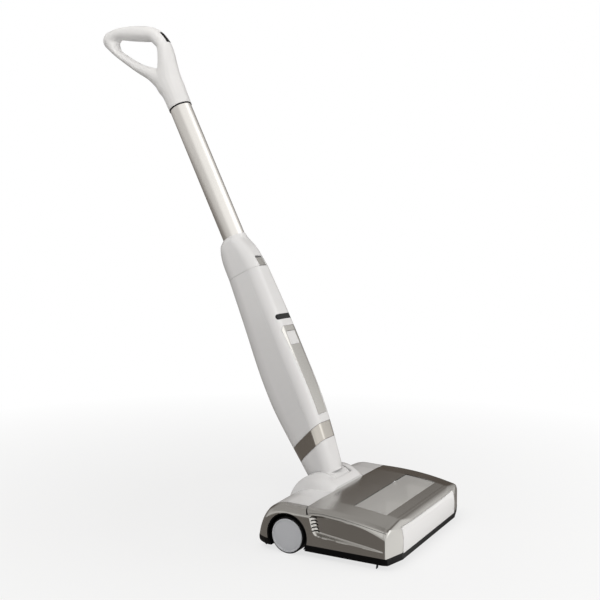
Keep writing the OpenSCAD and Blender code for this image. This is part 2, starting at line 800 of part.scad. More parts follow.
module collar() {
    color("#efeef0") on_stick() difference() {
        union() {
            difference() {
                collar_form(0);
                intersection() { collar_form(wall); block(-90, 90, -90, 90, 0, collar_top - 14); }
            }
            translate([0, -pole_t, pole_base - 2]) cylinder(r = pole_r + 2.6, h = collar_top - pole_base - 2);
        }
        translate([0, -pole_t, pole_base]) cylinder(r = pole_r + 0.05, h = 200);
        intersection() { latch_outline(0.5); block(-90, 90, -90, -pole_t - pole_r - 2.9, 0, 600); }
    }
}
module latch() {
    color("#9d9a94") on_stick() intersection() {
        difference() {
            union() { collar_form(0.2); stick_form(0.2); }
            union() { collar_form(4); stick_form(4); }
        }
        latch_outline(0);
        block(-90, 90, -90, -pole_t - pole_r - 4.9, body_top + 0.4, 600);
    }
}
module pole() {
    color("#b3aca0") on_stick() translate([0, -pole_t, pole_base]) difference() {
        cylinder(r = pole_r, h = pole_end - pole_base - ring_h);
        translate([0, 0, -1]) cylinder(r = pole_r - pole_wall, h = pole_end);
    }
}
module pole_plug() {
    color("#3a3b3d") on_stick() translate([0, -pole_t, pole_base + 0.2]) difference() {
        cylinder(r = pole_r - pole_wall - 0.1, h = 22);
        translate([0, 0, -1]) cylinder(r = pole_r - pole_wall - 3, h = 30);
    }
}
module ring() {
    color("#0e0e0f") on_stick() translate([0, -pole_t, pole_end - ring_h + 0.1]) difference() {
        cylinder(r = pole_r + 1.2, h = ring_h - 0.2);
        translate([0, 0, -1]) cylinder(r = pole_r - 1.1, h = ring_h + 2);
    }
}
module handle_spigot() {
    color("#2b2c2e") on_stick() translate([0, -pole_t, pole_end - 40]) difference() {
        cylinder(r = pole_r - pole_wall - 0.15, h = 62);
        translate([0, 0, -1]) cylinder(r = pole_r - pole_wall - 2.6, h = 80);
    }
}
module handle_ball(p, i, n) {
    translate([0, -p[1], p[0]]) scale([p[3] - i, p[2] - i, p[2] - i]) sphere(1, $fn = n);
}
module handle_chain(rows, i, n) {
    for (k = [0:len(rows) - 2]) hull() { handle_ball(rows[k], i, n); handle_ball(rows[k + 1], i, n); }
}
module handle_form(i, n) {
    handle_chain(concat(H_BASE, H_FRONT, H_GRIP), i, n);
    handle_chain(concat([H_GRIP[4]], H_STRUT, [H_BASE[2]]), i, n);
}
module handle_switch_box(grow, depth) {
    translate([0, -switch_at[1], switch_at[0]]) rotate([-18, 0, 0])
        block(-6 - grow, 6 + grow, -12, depth, -13 - grow, 13 + grow);
}
module handle_half(side) {
    color("#e9e8e8") on_stick() translate([0, -pole_t, pole_end]) difference() {
        intersection() {
            handle_form(0, 16);
            block(side > 0 ? seam / 2 : -60, side > 0 ? 60 : -seam / 2, -90, 140, 0.1, 240);
        }
        difference() { handle_form(2.4, 12); block(-60, 60, -60, 60, -60, 26); }
        translate([0, 0, -1]) cylinder(r = pole_r - pole_wall + 0.2, h = 24);
        handle_switch_box(0.5, 5.6 + switch_travel);
        if (side > 0) handle_screw_axes() translate([0, 0, 4]) cylinder(r = 2.6, h = 60);
    }
    // screw posts inside the shell
    color("#e9e8e8") on_stick() translate([0, -pole_t, pole_end]) difference() {
        intersection() {
            handle_form(1, 16);
            handle_screw_axes() translate([0, 0, side > 0 ? seam / 2 : -40]) cylinder(r = 4.4,
                h = 40 - seam / 2);
        }
        handle_screw_axes() translate([0, 0, 4]) cylinder(r = 2.6, h = 60);
        handle_screw_axes() translate([0, 0, -8.2]) cylinder(r = 1.3, h = 20);
    }
}
module handle_screw_axes() {
    for (p = handle_screw_points()) translate([0, -p[1], p[0]]) rotate([0, 90, 0]) children();
}
function handle_screw_points() = [[62, -8], [128, -59], [194, -82]];
module handle_left() { handle_half(-1); }
module handle_right() { handle_half(1); }
module handle_switch() {
    color("#141415") on_stick() translate([0, -pole_t, pole_end]) intersection() {
        handle_switch_box(0, 5);
        handle_form(0, 16);
    }
}
module handle_screws() {
    color("#9a9da1") on_stick() translate([0, -pole_t, pole_end]) handle_screw_axes() {
        translate([0, 0, 4.05]) cylinder(r = 2.4, h = 2.4);
        translate([0, 0, -8]) cylinder(r = 1.25, h = 12.1);
    }
}

base_plate();
front_glides();
edge_bristles();
ballast_plate();
base_screws();
wheel_well_left();
wheel_well_right();
axle_pins();
top_cover();
window();
side_cover_left();
side_cover_right();
pivot_housing();
pivot_cradle();
brush_shroud();
brush_bearings();
motor();
motor_bracket();
drive_belt();
motor_pulley();
tyre_left();
tyre_right();
wheel_hub_left();
wheel_hub_right();
wheel_cap_left();
wheel_cap_right();
brush_core();
brush_axle();
bristles();
brush_pulley();
dust_drawer();
drawer_face();
dust_lip();
neck();
pivot_tube();
band();
body_rear();
body_front();
inlay();
display();
power_button();
battery_cells();
battery_case();
control_board();
charge_socket();
body_screws();
collar();
latch();
pole();
pole_plug();
ring();
handle_spigot();
handle_left();
handle_right();
handle_switch();
handle_screws();
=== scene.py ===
"""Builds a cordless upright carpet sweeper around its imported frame: shells, trim, finishes, stage."""

import json
import math

import bmesh
import bpy
from bpy.props import FloatProperty, FloatVectorProperty, IntProperty, PointerProperty
from mathutils import Matrix, Vector


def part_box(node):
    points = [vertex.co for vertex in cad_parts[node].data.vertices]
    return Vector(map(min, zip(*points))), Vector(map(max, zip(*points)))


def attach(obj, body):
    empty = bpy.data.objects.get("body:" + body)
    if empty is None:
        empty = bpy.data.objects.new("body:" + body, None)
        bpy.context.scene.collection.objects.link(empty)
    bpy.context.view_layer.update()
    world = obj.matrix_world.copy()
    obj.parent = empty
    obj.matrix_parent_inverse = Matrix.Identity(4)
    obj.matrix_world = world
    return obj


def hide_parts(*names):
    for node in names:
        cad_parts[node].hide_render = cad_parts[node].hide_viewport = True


bl_info = {
    "name": "Carpet Sweeper",
    "version": (1, 0, 0),
    "blender": (4, 5, 0),
    "location": "View3D > Sidebar > Sweeper",
    "description": "Builds the shells, trim, finishes and stage of an upright carpet sweeper",
    "category": "Add Mesh",
}

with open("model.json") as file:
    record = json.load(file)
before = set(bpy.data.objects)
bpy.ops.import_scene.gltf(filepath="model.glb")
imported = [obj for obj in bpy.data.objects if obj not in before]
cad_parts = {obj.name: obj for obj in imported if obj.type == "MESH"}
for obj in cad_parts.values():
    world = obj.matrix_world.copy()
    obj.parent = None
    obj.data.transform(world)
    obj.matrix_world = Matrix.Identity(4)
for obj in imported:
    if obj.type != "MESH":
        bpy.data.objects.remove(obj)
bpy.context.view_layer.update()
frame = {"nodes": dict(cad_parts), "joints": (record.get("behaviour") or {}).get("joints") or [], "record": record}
MM = 0.001


# ---------------------------------------------------------------- places taken from the frame

def joint(name):
    """The record's joint of that name."""
    return next(j for j in frame["joints"] if j["name"] == name)


def box_mm(node):
    """A node's lowest and highest corner at rest, in millimetres."""
    low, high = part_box(node)
    return low / MM, high / MM


X_AXIS, Y_AXIS, Z_AXIS = Vector((1, 0, 0)), Vector((0, 1, 0)), Vector((0, 0, 1))
SIDES = ((1, "right"), (-1, "left"))

TYRE_LOW, TYRE_HIGH = box_mm("tyre_right")
WHEEL_R = (TYRE_HIGH.z - TYRE_LOW.z) / 2
AXLE_Y = (TYRE_HIGH.y + TYRE_LOW.y) / 2
PIVOT = Vector(joint("recline")["pos_m"])
PIVOT_Y = PIVOT.y / MM - AXLE_Y
PIVOT_Z = PIVOT.z / MM
LEAN = math.asin(-joint("power_button_press")["axis"][2])
HALF_W = box_mm("wheel_cap_right")[1].x
FRONT = AXLE_Y - box_mm("drawer_face")[0].y
REAR = box_mm("side_cover_right")[1].y - AXLE_Y

# the pole's middle runs POLE_T before the pivot, up to the top of the ring under the handle
POLE_R = box_mm("pole")[1].x
POLE_T = 11.35
RING_TOP_S = 757.0

# Head pieces are modelled in millimetres from the floor under the wheel axle,
# stick pieces in millimetres from the pivot with z up the stick and y to its back.
HEAD = Matrix.Translation((0, AXLE_Y * MM, 0)) @ Matrix.Scale(MM, 4)
STICK = Matrix.Translation(PIVOT) @ Matrix.Rotation(-LEAN, 4, "X") @ Matrix.Scale(MM, 4)
POLE = STICK @ Matrix.Translation((0, -POLE_T, 0))
HANDLE = STICK @ Matrix.Translation((0, -POLE_T, RING_TOP_S))


# ---------------------------------------------------------------- sizes and colours a user may change

class SweeperHeadSettings(bpy.types.PropertyGroup):
    top_height: FloatProperty(name="Top height", description="Height of the lid's rear edge",
                              default=0.081, unit="LENGTH")
    nose_radius: FloatProperty(name="Nose radius", description="Roll of the lid's front edge",
                               default=0.0165, unit="LENGTH")
    recess_depth: FloatProperty(name="Recess depth", description="Depth of the side scoop",
                                default=0.0084, unit="LENGTH")
    groove: FloatProperty(name="Groove", description="Width of the groove along the arch",
                          default=0.0013, unit="LENGTH")
    cap_rim: FloatProperty(name="Cap rim", description="Width of the raised rim on a wheel cap",
                           default=0.0022, unit="LENGTH")


class SweeperStickSettings(bpy.types.PropertyGroup):
    seam: FloatProperty(name="Seam", description="Gap between neighbouring shells",
                        default=0.0004, unit="LENGTH")
    band_tilt: FloatProperty(name="Band tilt", description="How far the band's front stands higher",
                             default=math.radians(18.6), unit="ROTATION")
    grip_cell: FloatProperty(name="Grip cell", description="Cell size of the handle's mesh",
                             default=0.0013, unit="LENGTH")
    grip_smoothing: IntProperty(name="Grip smoothing", description="Smoothing passes on the handle",
                                default=14, min=0, max=60)


class SweeperFinishSettings(bpy.types.PropertyGroup):
    white: FloatVectorProperty(name="White plastic", description="Glossy moulded white",
                               default=(0.82, 0.815, 0.82), subtype="COLOR")
    handle_white: FloatVectorProperty(name="Handle white", description="Satin white of the grip",
                                      default=(0.82, 0.815, 0.815), subtype="COLOR")
    silver: FloatVectorProperty(name="Silver paint", description="Warm silver of the covers",
                                default=(0.52, 0.51, 0.49), subtype="COLOR")
    dark_silver: FloatVectorProperty(name="Dark silver", description="Darker silver of the band",
                                     default=(0.50, 0.475, 0.44), subtype="COLOR")
    black: FloatVectorProperty(name="Black plastic", description="Fine grained black",
                               default=(0.0045, 0.0045, 0.005), subtype="COLOR")
    piano_black: FloatVectorProperty(name="Gloss black", description="Polished black trim",
                                     default=(0.006, 0.006, 0.007), subtype="COLOR")
    tube: FloatVectorProperty(name="Tube metal", description="Drawn tube with lengthwise grain",
                              default=(0.80, 0.78, 0.755), subtype="COLOR")
    smoke: FloatVectorProperty(name="Window", description="Smoky clear plastic",
                               default=(0.97, 0.955, 0.93), subtype="COLOR")
    rubber: FloatVectorProperty(name="Rubber", description="Tyres, belt and lip",
                                default=(0.006, 0.006, 0.0065), subtype="COLOR")
    cap: FloatVectorProperty(name="Wheel cap", description="Light grey satin cap",
                             default=(0.64, 0.655, 0.69), subtype="COLOR")


class SweeperStageSettings(bpy.types.PropertyGroup):
    key: FloatProperty(name="Key light", description="Power of the large front light",
                       default=11.5, unit="POWER")
    top: FloatProperty(name="Top light", description="Power of the overhead light",
                       default=5.5, unit="POWER")
    high: FloatProperty(name="High light", description="Power of the light high on the left",
                        default=13.5, unit="POWER")
    rim: FloatProperty(name="Side light", description="Power of the light behind on the left",
                       default=2.2, unit="POWER")
    sky: FloatProperty(name="Room light", description="Strength of the even room light",
                       default=0.25, min=0, max=2)
    far_end: FloatVectorProperty(name="Far end", description="Dim end of the room, seen in metal",
                                 default=(0.105, 0.086, 0.070), subtype="COLOR")
    near_end: FloatVectorProperty(name="Near end", description="Bright end of the room, in metal",
                                  default=(1.9, 1.9, 1.87), max=2.0, subtype="COLOR")
    plain: FloatProperty(name="Plain walls", description="How bright the plain walls are in "
                         "metal, as a share of the bright screen", default=0.58, min=0, max=1)
    floor: FloatVectorProperty(name="Floor", description="Pale studio floor",
                               default=(0.80, 0.80, 0.80), subtype="COLOR")


def head_size(key):
    """A length of the head's settings, in millimetres."""
    return getattr(bpy.context.scene.sweeper_head, key) / MM


def stick_size(key):
    """A length of the stick's settings, in millimetres."""
    return getattr(bpy.context.scene.sweeper_stick, key) / MM


def band_climb():
    """How much the band's edges rise towards the front."""
    return math.tan(bpy.context.scene.sweeper_stick.band_tilt)


# ---------------------------------------------------------------- finishes

# how far in metres the wear reaches in from an edge
WORN_WIDTH = 0.0007


class Nodes:
    """Adds nodes to a tree."""

    def __init__(self, tree):
        self.tree = tree

    def feed(self, node, socket, value):
        """Gives a socket a number or a colour, or links another node's output to it."""
        if isinstance(value, bpy.types.NodeSocket):
            self.tree.links.new(value, node.inputs[socket])
        else:
            node.inputs[socket].default_value = value

    def add(self, kind, inputs=(), **values):
        node = self.tree.nodes.new(kind)
        for key, value in values.items():
            setattr(node, key, value)
        for socket, value in dict(inputs).items():
            self.feed(node, socket, value)
        return node

    def math(self, operation, a, b, clamp=False):
        return self.add("ShaderNodeMath", {0: a, 1: b}, operation=operation,
                        use_clamp=clamp).outputs[0]

    def dot(self, a, b):
        return self.add("ShaderNodeVectorMath", {0: a, 1: b},
                        operation="DOT_PRODUCT").outputs["Value"]

    def ramp(self, source, start, stop, low, high, smooth=False):
        """Takes the span from start to stop of a pattern to the span from low to high."""
        return self.add("ShaderNodeMapRange", {"Value": source, "From Min": start,
                                               "From Max": stop, "To Min": low, "To Max": high},
                        interpolation_type="SMOOTHSTEP" if smooth else "LINEAR").outputs[0]

    def tint(self, factor, low, high):
        """Goes from the colour or pattern low to the colour high."""
        low = low if isinstance(low, bpy.types.NodeSocket) else (*low, 1)
        return self.add("ShaderNodeMix", {0: factor, 6: low, 7: (*high, 1)},
                        data_type="RGBA").outputs[2]


class Finish(Nodes):
    """One procedural material; its patterns read Object coordinates."""

    def __init__(self, name, colour, rough, **sockets):
        self.material = bpy.data.materials.new(name)
        self.material.use_nodes = True
        super().__init__(self.material.node_tree)
        self.shader = self.tree.nodes["Principled BSDF"]
        self.base = self.colour = tuple(colour)
        self.rough = rough
        self.feed(self.shader, "Base Color", (*colour, 1.0))
        self.feed(self.shader, "Roughness", rough)
        for socket, value in sockets.items():
            self.feed(self.shader, socket.replace("_", " ").title().replace("Ior", "IOR"), value)
        self.place = self.add("ShaderNodeTexCoord").outputs["Object"]

    def noise(self, scale, detail=2.0, rough=0.5, turn=None, stretch=None):
        """A noise pattern; scale is in cells per metre, stretch thins it along an axis."""
        place = self.place
        for socket, value in (("Rotation", turn), ("Scale", stretch)):
            if value:
                place = self.add("ShaderNodeMapping", {"Vector": place, socket: value}).outputs[0]
        return self.add("ShaderNodeTexNoise", {"Vector": place, "Scale": scale, "Detail": detail,
                                               "Roughness": rough}).outputs["Fac"]

    def blend(self, factor, colour):
        """Lays a colour over the base by a pattern."""
        self.base = self.tint(factor, self.base, colour)
        self.feed(self.shader, "Base Color", self.base)
        return self

    def mottle(self, scale, spread):
        """Slow drift from the colour to a slightly darker one."""
        dark = [c * (1 - spread) for c in self.colour]
        return self.blend(self.ramp(self.noise(scale), 0.2, 0.8, 0.0, 1.0), dark)

    def facing(self, way):
        """How far the surface's own normal points in a direction."""
        return self.dot(way, self.add("ShaderNodeNewGeometry").outputs["Normal"])

    def worn(self, colour, amount):
        """Edges rub to another colour, unevenly."""
        edge = self.add("ShaderNodeBevel", {"Radius": WORN_WIDTH}, samples=4).outputs["Normal"]
        level = self.ramp(self.facing(edge), 0.80, 0.98, amount, 0.0)
        patch = self.ramp(self.noise(70, 4.0), 0.35, 0.65, 0.2, 1.0)
        return self.blend(self.math("MULTIPLY", level, patch), colour)

    def dust(self, colour, amount, scale=38):
        """Settled dust on faces that look up."""
        level = self.ramp(self.facing(Z_AXIS), 0.2, 0.95, 0.0, amount)
        patch = self.ramp(self.noise(scale, 6.0, 0.65), 0.42, 0.66, 0.0, 1.0)
        return self.blend(self.math("MULTIPLY", level, patch), colour)

    def flakes(self, scale, spread):
        """Metal flakes under the lacquer: small cells of lighter paint."""
        cells = self.add("ShaderNodeTexVoronoi", {"Vector": self.place, "Scale": scale})
        shade = self.add("ShaderNodeSeparateColor", {0: cells.outputs["Color"]}).outputs[0]
        light = [min(1.0, c * (1 + spread)) for c in self.colour]
        return self.blend(self.ramp(shade, 0.2, 1.0, 0.0, 1.0), light)

    def uneven(self, scale, spread, **pattern):
        """Roughness wanders by spread on both sides of its mean."""
        self.feed(self.shader, "Roughness", self.ramp(
            self.noise(scale, **pattern), 0.2, 0.8, self.rough - spread, self.rough + spread))
        return self

    def grain(self, scale, slope, **pattern):
        """Fine relief; slope is how steep its little hills are, about rise over run."""
        relief = self.add("ShaderNodeBump", {"Height": self.noise(scale, **pattern),
                                             "Strength": 1.0, "Distance": slope / (3 * scale)})
        self.feed(self.shader, "Normal", relief.outputs["Normal"])
        return self


def make_finishes():
    """One material for each slot of the record."""
    tone = bpy.context.scene.sweeper_finish
    lean = (-LEAN, 0, 0)
    made = {
        "white_plastic": Finish("gloss_white_shell", tone.white, 0.245, coat_weight=0.35,
                                coat_roughness=0.06, specular_ior_level=0.5)
        .mottle(14, 0.02).dust((0.60, 0.58, 0.54), 0.06, 90).worn((0.88, 0.88, 0.88), 0.3)
        .uneven(30, 0.02),
        "white_handle": Finish("satin_white_grip", tone.handle_white, 0.42, coat_weight=0.12,
                               coat_roughness=0.2)
        .mottle(18, 0.02).dust((0.60, 0.58, 0.55), 0.05, 90).uneven(40, 0.04)
        .grain(900, 0.01),
        "silver_paint": Finish("silver_lacquer", tone.silver, 0.21, metallic=1.0,
                               coat_weight=0.25, coat_roughness=0.06)
        .flakes(5200, 0.10).mottle(12, 0.05).worn((0.66, 0.65, 0.63), 0.5)
        .uneven(26, 0.03).grain(1400, 0.010),
        "dark_silver": Finish("dark_silver_lacquer", tone.dark_silver, 0.17, metallic=1.0,
                              coat_weight=0.2, coat_roughness=0.05)
        .flakes(5200, 0.10).mottle(16, 0.06).uneven(30, 0.04)
        .grain(700, 0.006, stretch=(1, 1, 14), turn=lean),
        "black_plastic": Finish("grained_black", tone.black, 0.42, specular_ior_level=0.1)
        .mottle(25, 0.25).dust((0.03, 0.029, 0.027), 0.30).worn((0.02, 0.02, 0.021), 0.4)
        .uneven(60, 0.08).grain(1500, 0.05),
        "gloss_black": Finish("polished_black", tone.piano_black, 0.14, specular_ior_level=0.2)
        .mottle(30, 0.2).uneven(45, 0.04).grain(300, 0.004),
        "brushed_tube": Finish("drawn_tube", tone.tube, 0.33, metallic=1.0)
        .mottle(9, 0.04).uneven(240, 0.02, stretch=(1, 1, 0.02), turn=lean)
        .grain(1500, 0.0015, stretch=(1, 1, 0.01), turn=lean),
        "tyre_rubber": Finish("soft_black_rubber", tone.rubber, 0.62, specular_ior_level=0.15)
        .mottle(40, 0.3).dust((0.04, 0.038, 0.036), 0.35, 90).uneven(80, 0.12)
        .grain(900, 0.12),
        "cap_grey": Finish("satin_grey_cap", tone.cap, 0.36, coat_weight=0.2,
                           coat_roughness=0.12)
        .mottle(35, 0.05).worn((0.55, 0.56, 0.58), 0.5).uneven(55, 0.06)
        .grain(1100, 0.03),
        "bristle": Finish("nylon_bristle", (0.055, 0.062, 0.08), 0.55)
        .mottle(300, 0.5).uneven(500, 0.15).grain(2400, 0.3),
        "inner_grey": Finish("plain_grey_moulding", (0.085, 0.09, 0.10), 0.48)
        .mottle(30, 0.15).uneven(60, 0.08).grain(1000, 0.05),
        "tray_white": Finish("plain_white_tray", (0.84, 0.835, 0.82), 0.40)
        .mottle(22, 0.04).dust((0.52, 0.49, 0.44), 0.15, 60).uneven(50, 0.07)
        .grain(1100, 0.04),
        "steel": Finish("ground_steel", (0.50, 0.51, 0.53), 0.30, metallic=1.0)
        .mottle(40, 0.12).uneven(300, 0.08, stretch=(1, 6, 6)).grain(1600, 0.03),
        "brass": Finish("turned_brass", (0.62, 0.44, 0.17), 0.28, metallic=1.0)
        .mottle(60, 0.15).uneven(400, 0.07, stretch=(6, 1, 1)).grain(1800, 0.03),
        "battery_wrap": Finish("shrink_wrap", (0.03, 0.12, 0.20), 0.32, coat_weight=0.3,
                               coat_roughness=0.1)
        .mottle(25, 0.12).uneven(60, 0.06).grain(220, 0.05, stretch=(1, 1, 0.2)),
        "board_green": Finish("circuit_board", (0.012, 0.10, 0.045), 0.38)
        .mottle(60, 0.3).uneven(100, 0.08).grain(900, 0.04),
        "clear_window": Finish("smoky_window", tone.smoke, 0.12, coat_weight=0.5,
                               coat_roughness=0.04, alpha=0.40)
        .mottle(20, 0.04).uneven(40, 0.02),
    }
    return {slot: finish.material for slot, finish in made.items()}


FINISHES = {}


def finish_for(slot):
    if not FINISHES:
        FINISHES.update(make_finishes())
    return FINISHES[slot]


# ---------------------------------------------------------------- mesh helpers

TURNED_STEPS = 96


def spread(bm):
    """All of a mesh, as bisect and mirror want it."""
    return bm.verts[:] + bm.edges[:] + bm.faces[:]


def sheet(columns, rows, place):
    """A sheet of quads, each corner put where place(column, row) says."""
    bm = bmesh.new()
    bmesh.ops.create_grid(bm, x_segments=columns, y_segments=rows, size=0.5)
    for vert in bm.verts:
        column = round((vert.co.x + 0.5) * columns)
        row = round((vert.co.y + 0.5) * rows)
        vert.co = place(column, row)
    return weld(bm)


def weld(bm, reach=0.01):
    """Joins corners that coincide, and drops what shrinks to nothing."""
    bmesh.ops.remove_doubles(bm, verts=bm.verts, dist=reach)
    bmesh.ops.dissolve_degenerate(bm, edges=bm.edges, dist=reach / 2)
    return bm


def point_away(bm, centre):
    """Turns the faces so that they look away from centre."""
    bmesh.ops.recalc_face_normals(bm, faces=bm.faces)
    outward = sum(f.normal.dot(f.calc_center_median() - centre) * f.calc_area()
                  for f in bm.faces)
    if outward < 0:
        bmesh.ops.reverse_faces(bm, faces=bm.faces)
    return bm


def cut_off(bm, point, normal):
    """Takes away what lies beyond the plane, on the side that normal points to."""
    bmesh.ops.bisect_plane(bm, geom=spread(bm), dist=1e-4, plane_co=point, plane_no=normal,
                           clear_outer=True)
    return bm


def inside(outline, p, q):
    """Whether the point lies in the closed outline."""
    odd = False
    for (ap, aq), (bp, bq) in zip(outline, outline[1:] + outline[:1]):
        if (aq > q) != (bq > q) and p < ap + (q - aq) / (bq - aq) * (bp - ap):
            odd = not odd
    return odd


def score(bm, outline, across, up, only=None, reach=5.0):
    """Cuts the lines of an outline, seen along across and up, into the faces near it."""
    through = across.cross(up)
    for (ap, aq), (bp, bq) in zip(outline, outline[1:] + outline[:1]):
        low_p, high_p = min(ap, bp) - reach, max(ap, bp) + reach
        low_q, high_q = min(aq, bq) - reach, max(aq, bq) + reach
        faces = []
        for face in bm.faces:
            centre = face.calc_center_median()
            if (low_p < centre.dot(across) < high_p and low_q < centre.dot(up) < high_q
                    and (only is None or only(centre))):
                faces.append(face)
        geometry = dict.fromkeys(faces)
        for face in faces:
            geometry.update(dict.fromkeys([*face.edges, *face.verts]))
        along = across * (bp - ap) + up * (bq - aq)
        if geometry and along.length > 1e-6:
            bmesh.ops.bisect_plane(bm, geom=list(geometry), dist=1e-4,
                                   plane_co=across * ap + up * aq,
                                   plane_no=along.cross(through).normalized())


def pierce(bm, outline, across, up, only=None, keep=False, reach=5.0):
    """Opens the outline in a skin, or keeps only what lies in it."""
    score(bm, outline, across, up, only, reach)
    gone = []
    for face in bm.faces:
        centre = face.calc_center_median()
        within = (only is None or only(centre)) and inside(
            outline, centre.dot(across), centre.dot(up))
        if within != keep:
            gone.append(face)
    bmesh.ops.delete(bm, geom=gone, context="FACES")
    return bm


def sink(bm, chosen, target):
    """Draws the rim that chosen() picks into a wall; target gives where each corner lands."""
    rim = [e for e in bm.edges if e.is_boundary and all(chosen(v.co) for v in e.verts)]
    made = bmesh.ops.extrude_edge_only(bm, edges=rim)
    for item in made["geom"]:
        if isinstance(item, bmesh.types.BMVert):
            item.co = target(item.co.copy())
    return bm


def beyond(way, least):
    """A test that picks points further than least along a direction."""
    return lambda point: point.dot(way) > least


def rounded(corners, radii, steps):
    """The closed outline through corners, rounded by one radius or by one for each."""
    out = []
    count = len(corners)
    for index, corner in enumerate(corners):
        here = Vector(corner)
        before = Vector(corners[index - 1]) - here
        after = Vector(corners[(index + 1) % count]) - here
        radius = radii[index] if isinstance(radii, list) else radii
        half = before.angle(after) / 2
        reach = min(radius / math.tan(half), before.length * 0.49, after.length * 0.49)
        if reach < 1e-4:
            out.append(tuple(here))
            continue
        start, stop = here + before.normalized() * reach, here + after.normalized() * reach
        for step in range(steps + 1):
            f = step / steps
            out.append(tuple((start * (1 - f) + here * f) * (1 - f)
                             + (here * (1 - f) + stop * f) * f))
    return out


def plate(half_w, centre, half_h, radius, steps=5):
    """The outline of a rounded plate on the middle line, centre high."""
    return rounded([(-half_w, centre - half_h), (half_w, centre - half_h),
                    (half_w, centre + half_h), (-half_w, centre + half_h)], radius, steps)


def half_plate(half_w, low, high, low_round, high_round, steps=4):
    """The right half of a plate's outline; it reaches over the middle, to be mirrored."""
    return rounded([(-30, low), (half_w, low), (half_w, high), (-30, high)],
                   [0, low_round, high_round, 0], steps)


def ring_of(radius, count, centre):
    """The corners of a round hole."""
    return [(centre[0] + radius * math.cos(2 * math.pi * k / count),
             centre[1] + radius * math.sin(2 * math.pi * k / count)) for k in range(count)]


def turned(profile, axis="X"):
    """Spins a profile of (along the axis, radius) points once round the axis."""
    bm = bmesh.new()
    verts = [bm.verts.new((a, 0, r) if axis == "X" else (r, 0, a)) for a, r in profile]
    edges = [bm.edges.new(pair) for pair in zip(verts, verts[1:])]
    bmesh.ops.spin(bm, geom=verts + edges, cent=(0, 0, 0), angle=2 * math.pi,
                   steps=TURNED_STEPS, axis=(1, 0, 0) if axis == "X" else (0, 0, 1),
                   use_merge=True)
    weld(bm, 0.002)
    bmesh.ops.recalc_face_normals(bm, faces=bm.faces)
    return bm


def shaped(name, bm, place, slot, body, wall=0.0, edge=0.0, segments=2, limit=40.0,
           replaces=None):
    """Makes the finished object of a mesh in millimetres."""
    bmesh.ops.transform(bm, matrix=place, verts=bm.verts)
    if place.is_negative:
        bmesh.ops.reverse_faces(bm, faces=bm.faces)
    mesh = bpy.data.meshes.new(name)
    bm.to_mesh(mesh)
    bm.free()
    if not mesh.polygons:
        raise RuntimeError(f"{name} has no faces")
    mesh.polygons.foreach_set("use_smooth", [True] * len(mesh.polygons))
    mesh.set_sharp_from_angle(angle=math.radians(limit))
    mesh.materials.append(finish_for(slot))
    piece = bpy.data.objects.new(name, mesh)
    bpy.context.scene.collection.objects.link(piece)
    if wall:
        solid = piece.modifiers.new("wall", "SOLIDIFY")
        solid.thickness = wall * MM
        solid.offset = -1
        solid.use_even_offset = True
        solid.thickness_clamp = 1.0
    if edge:
        bevel = piece.modifiers.new("edge", "BEVEL")
        bevel.width = edge * MM
        bevel.segments = segments
        bevel.limit_method = "ANGLE"
        bevel.angle_limit = math.radians(max(limit, 50.0))
        bevel.harden_normals = True
    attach(piece, body)
    if replaces:
        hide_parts(replaces)


def skin_piece(name, bm, centre, place, slot, body="stick", **look):
    """Makes the finished object of a skin that looks away from centre."""
    shaped(name, point_away(bm, Vector(centre)), place, slot, body, **look)


def mirrored(bm):
    """The same skin on both sides of the middle."""
    bmesh.ops.mirror(bm, geom=spread(bm), merge_dist=0.02, axis="X")
    return bm


# ---------------------------------------------------------------- form of the head

# y and z in millimetres, from back to front: the seam between the lid and the side covers,
# and the lower edge of the scoop in a side cover
SIDE_SEAM = [(-40, 72.5), (-61, 73.5), (-96, 71), (-131, 66), (-172, 58.5)]
SCOOP_LOW = [(-172, 28.5), (-156, 30), (-60, 36), (-50, 38), (-46.5, 47)]
LID_REAR = -32.0
BASE_TOP = 20.5
COVER_LOW = BASE_TOP + 0.25
DECK_X = HALF_W - 16
# the middle of the round back in y and z, and how far the front corners are cut in x and y
REAR_ARC = (5.0, 24.0)
CHAMFER = (40.0, 10.0)
ARCH_R = 37.3
# divisions of a section's straights and bends in turn; from SIDE_STEP on they go down the side
SECTION_STEPS = (16, 5, 10, 4, 4, 6, 4, 6, 46, 3, 4)
SIDE_STEP = 8
# stations along the round back, the deck, the lid and its nose
BACK_ROWS, DECK_ROWS, LID_ROWS, NOSE_ROWS = 36, 26, 108, 24


def lid_z(y):
    """Height of the lid's middle, which falls faster and faster towards the front."""
    return head_size("top_height") - 9 * (max(0.0, LID_REAR - y) / 120) ** 2.3


def edge_drop(y):
    """How much lower the lid's sides lie than its middle."""
    return 1.5 + 4 * (max(0.0, LID_REAR - y) / 140) ** 2


def soft_ramp(value, ease):
    """Rises from 0 with the value, with a soft start."""
    return (value + math.sqrt(value * value + ease * ease)) / 2


def half_width(y):
    """Half the width of the head, which draws in at the front corners and at the back."""
    front = CHAMFER[0] / CHAMFER[1] * soft_ramp(CHAMFER[1] - FRONT - y, 0.8)
    return HALF_W - min(front, CHAMFER[0]) - 12 * (max(0.0, y - REAR + 24) / 24) ** 1.6


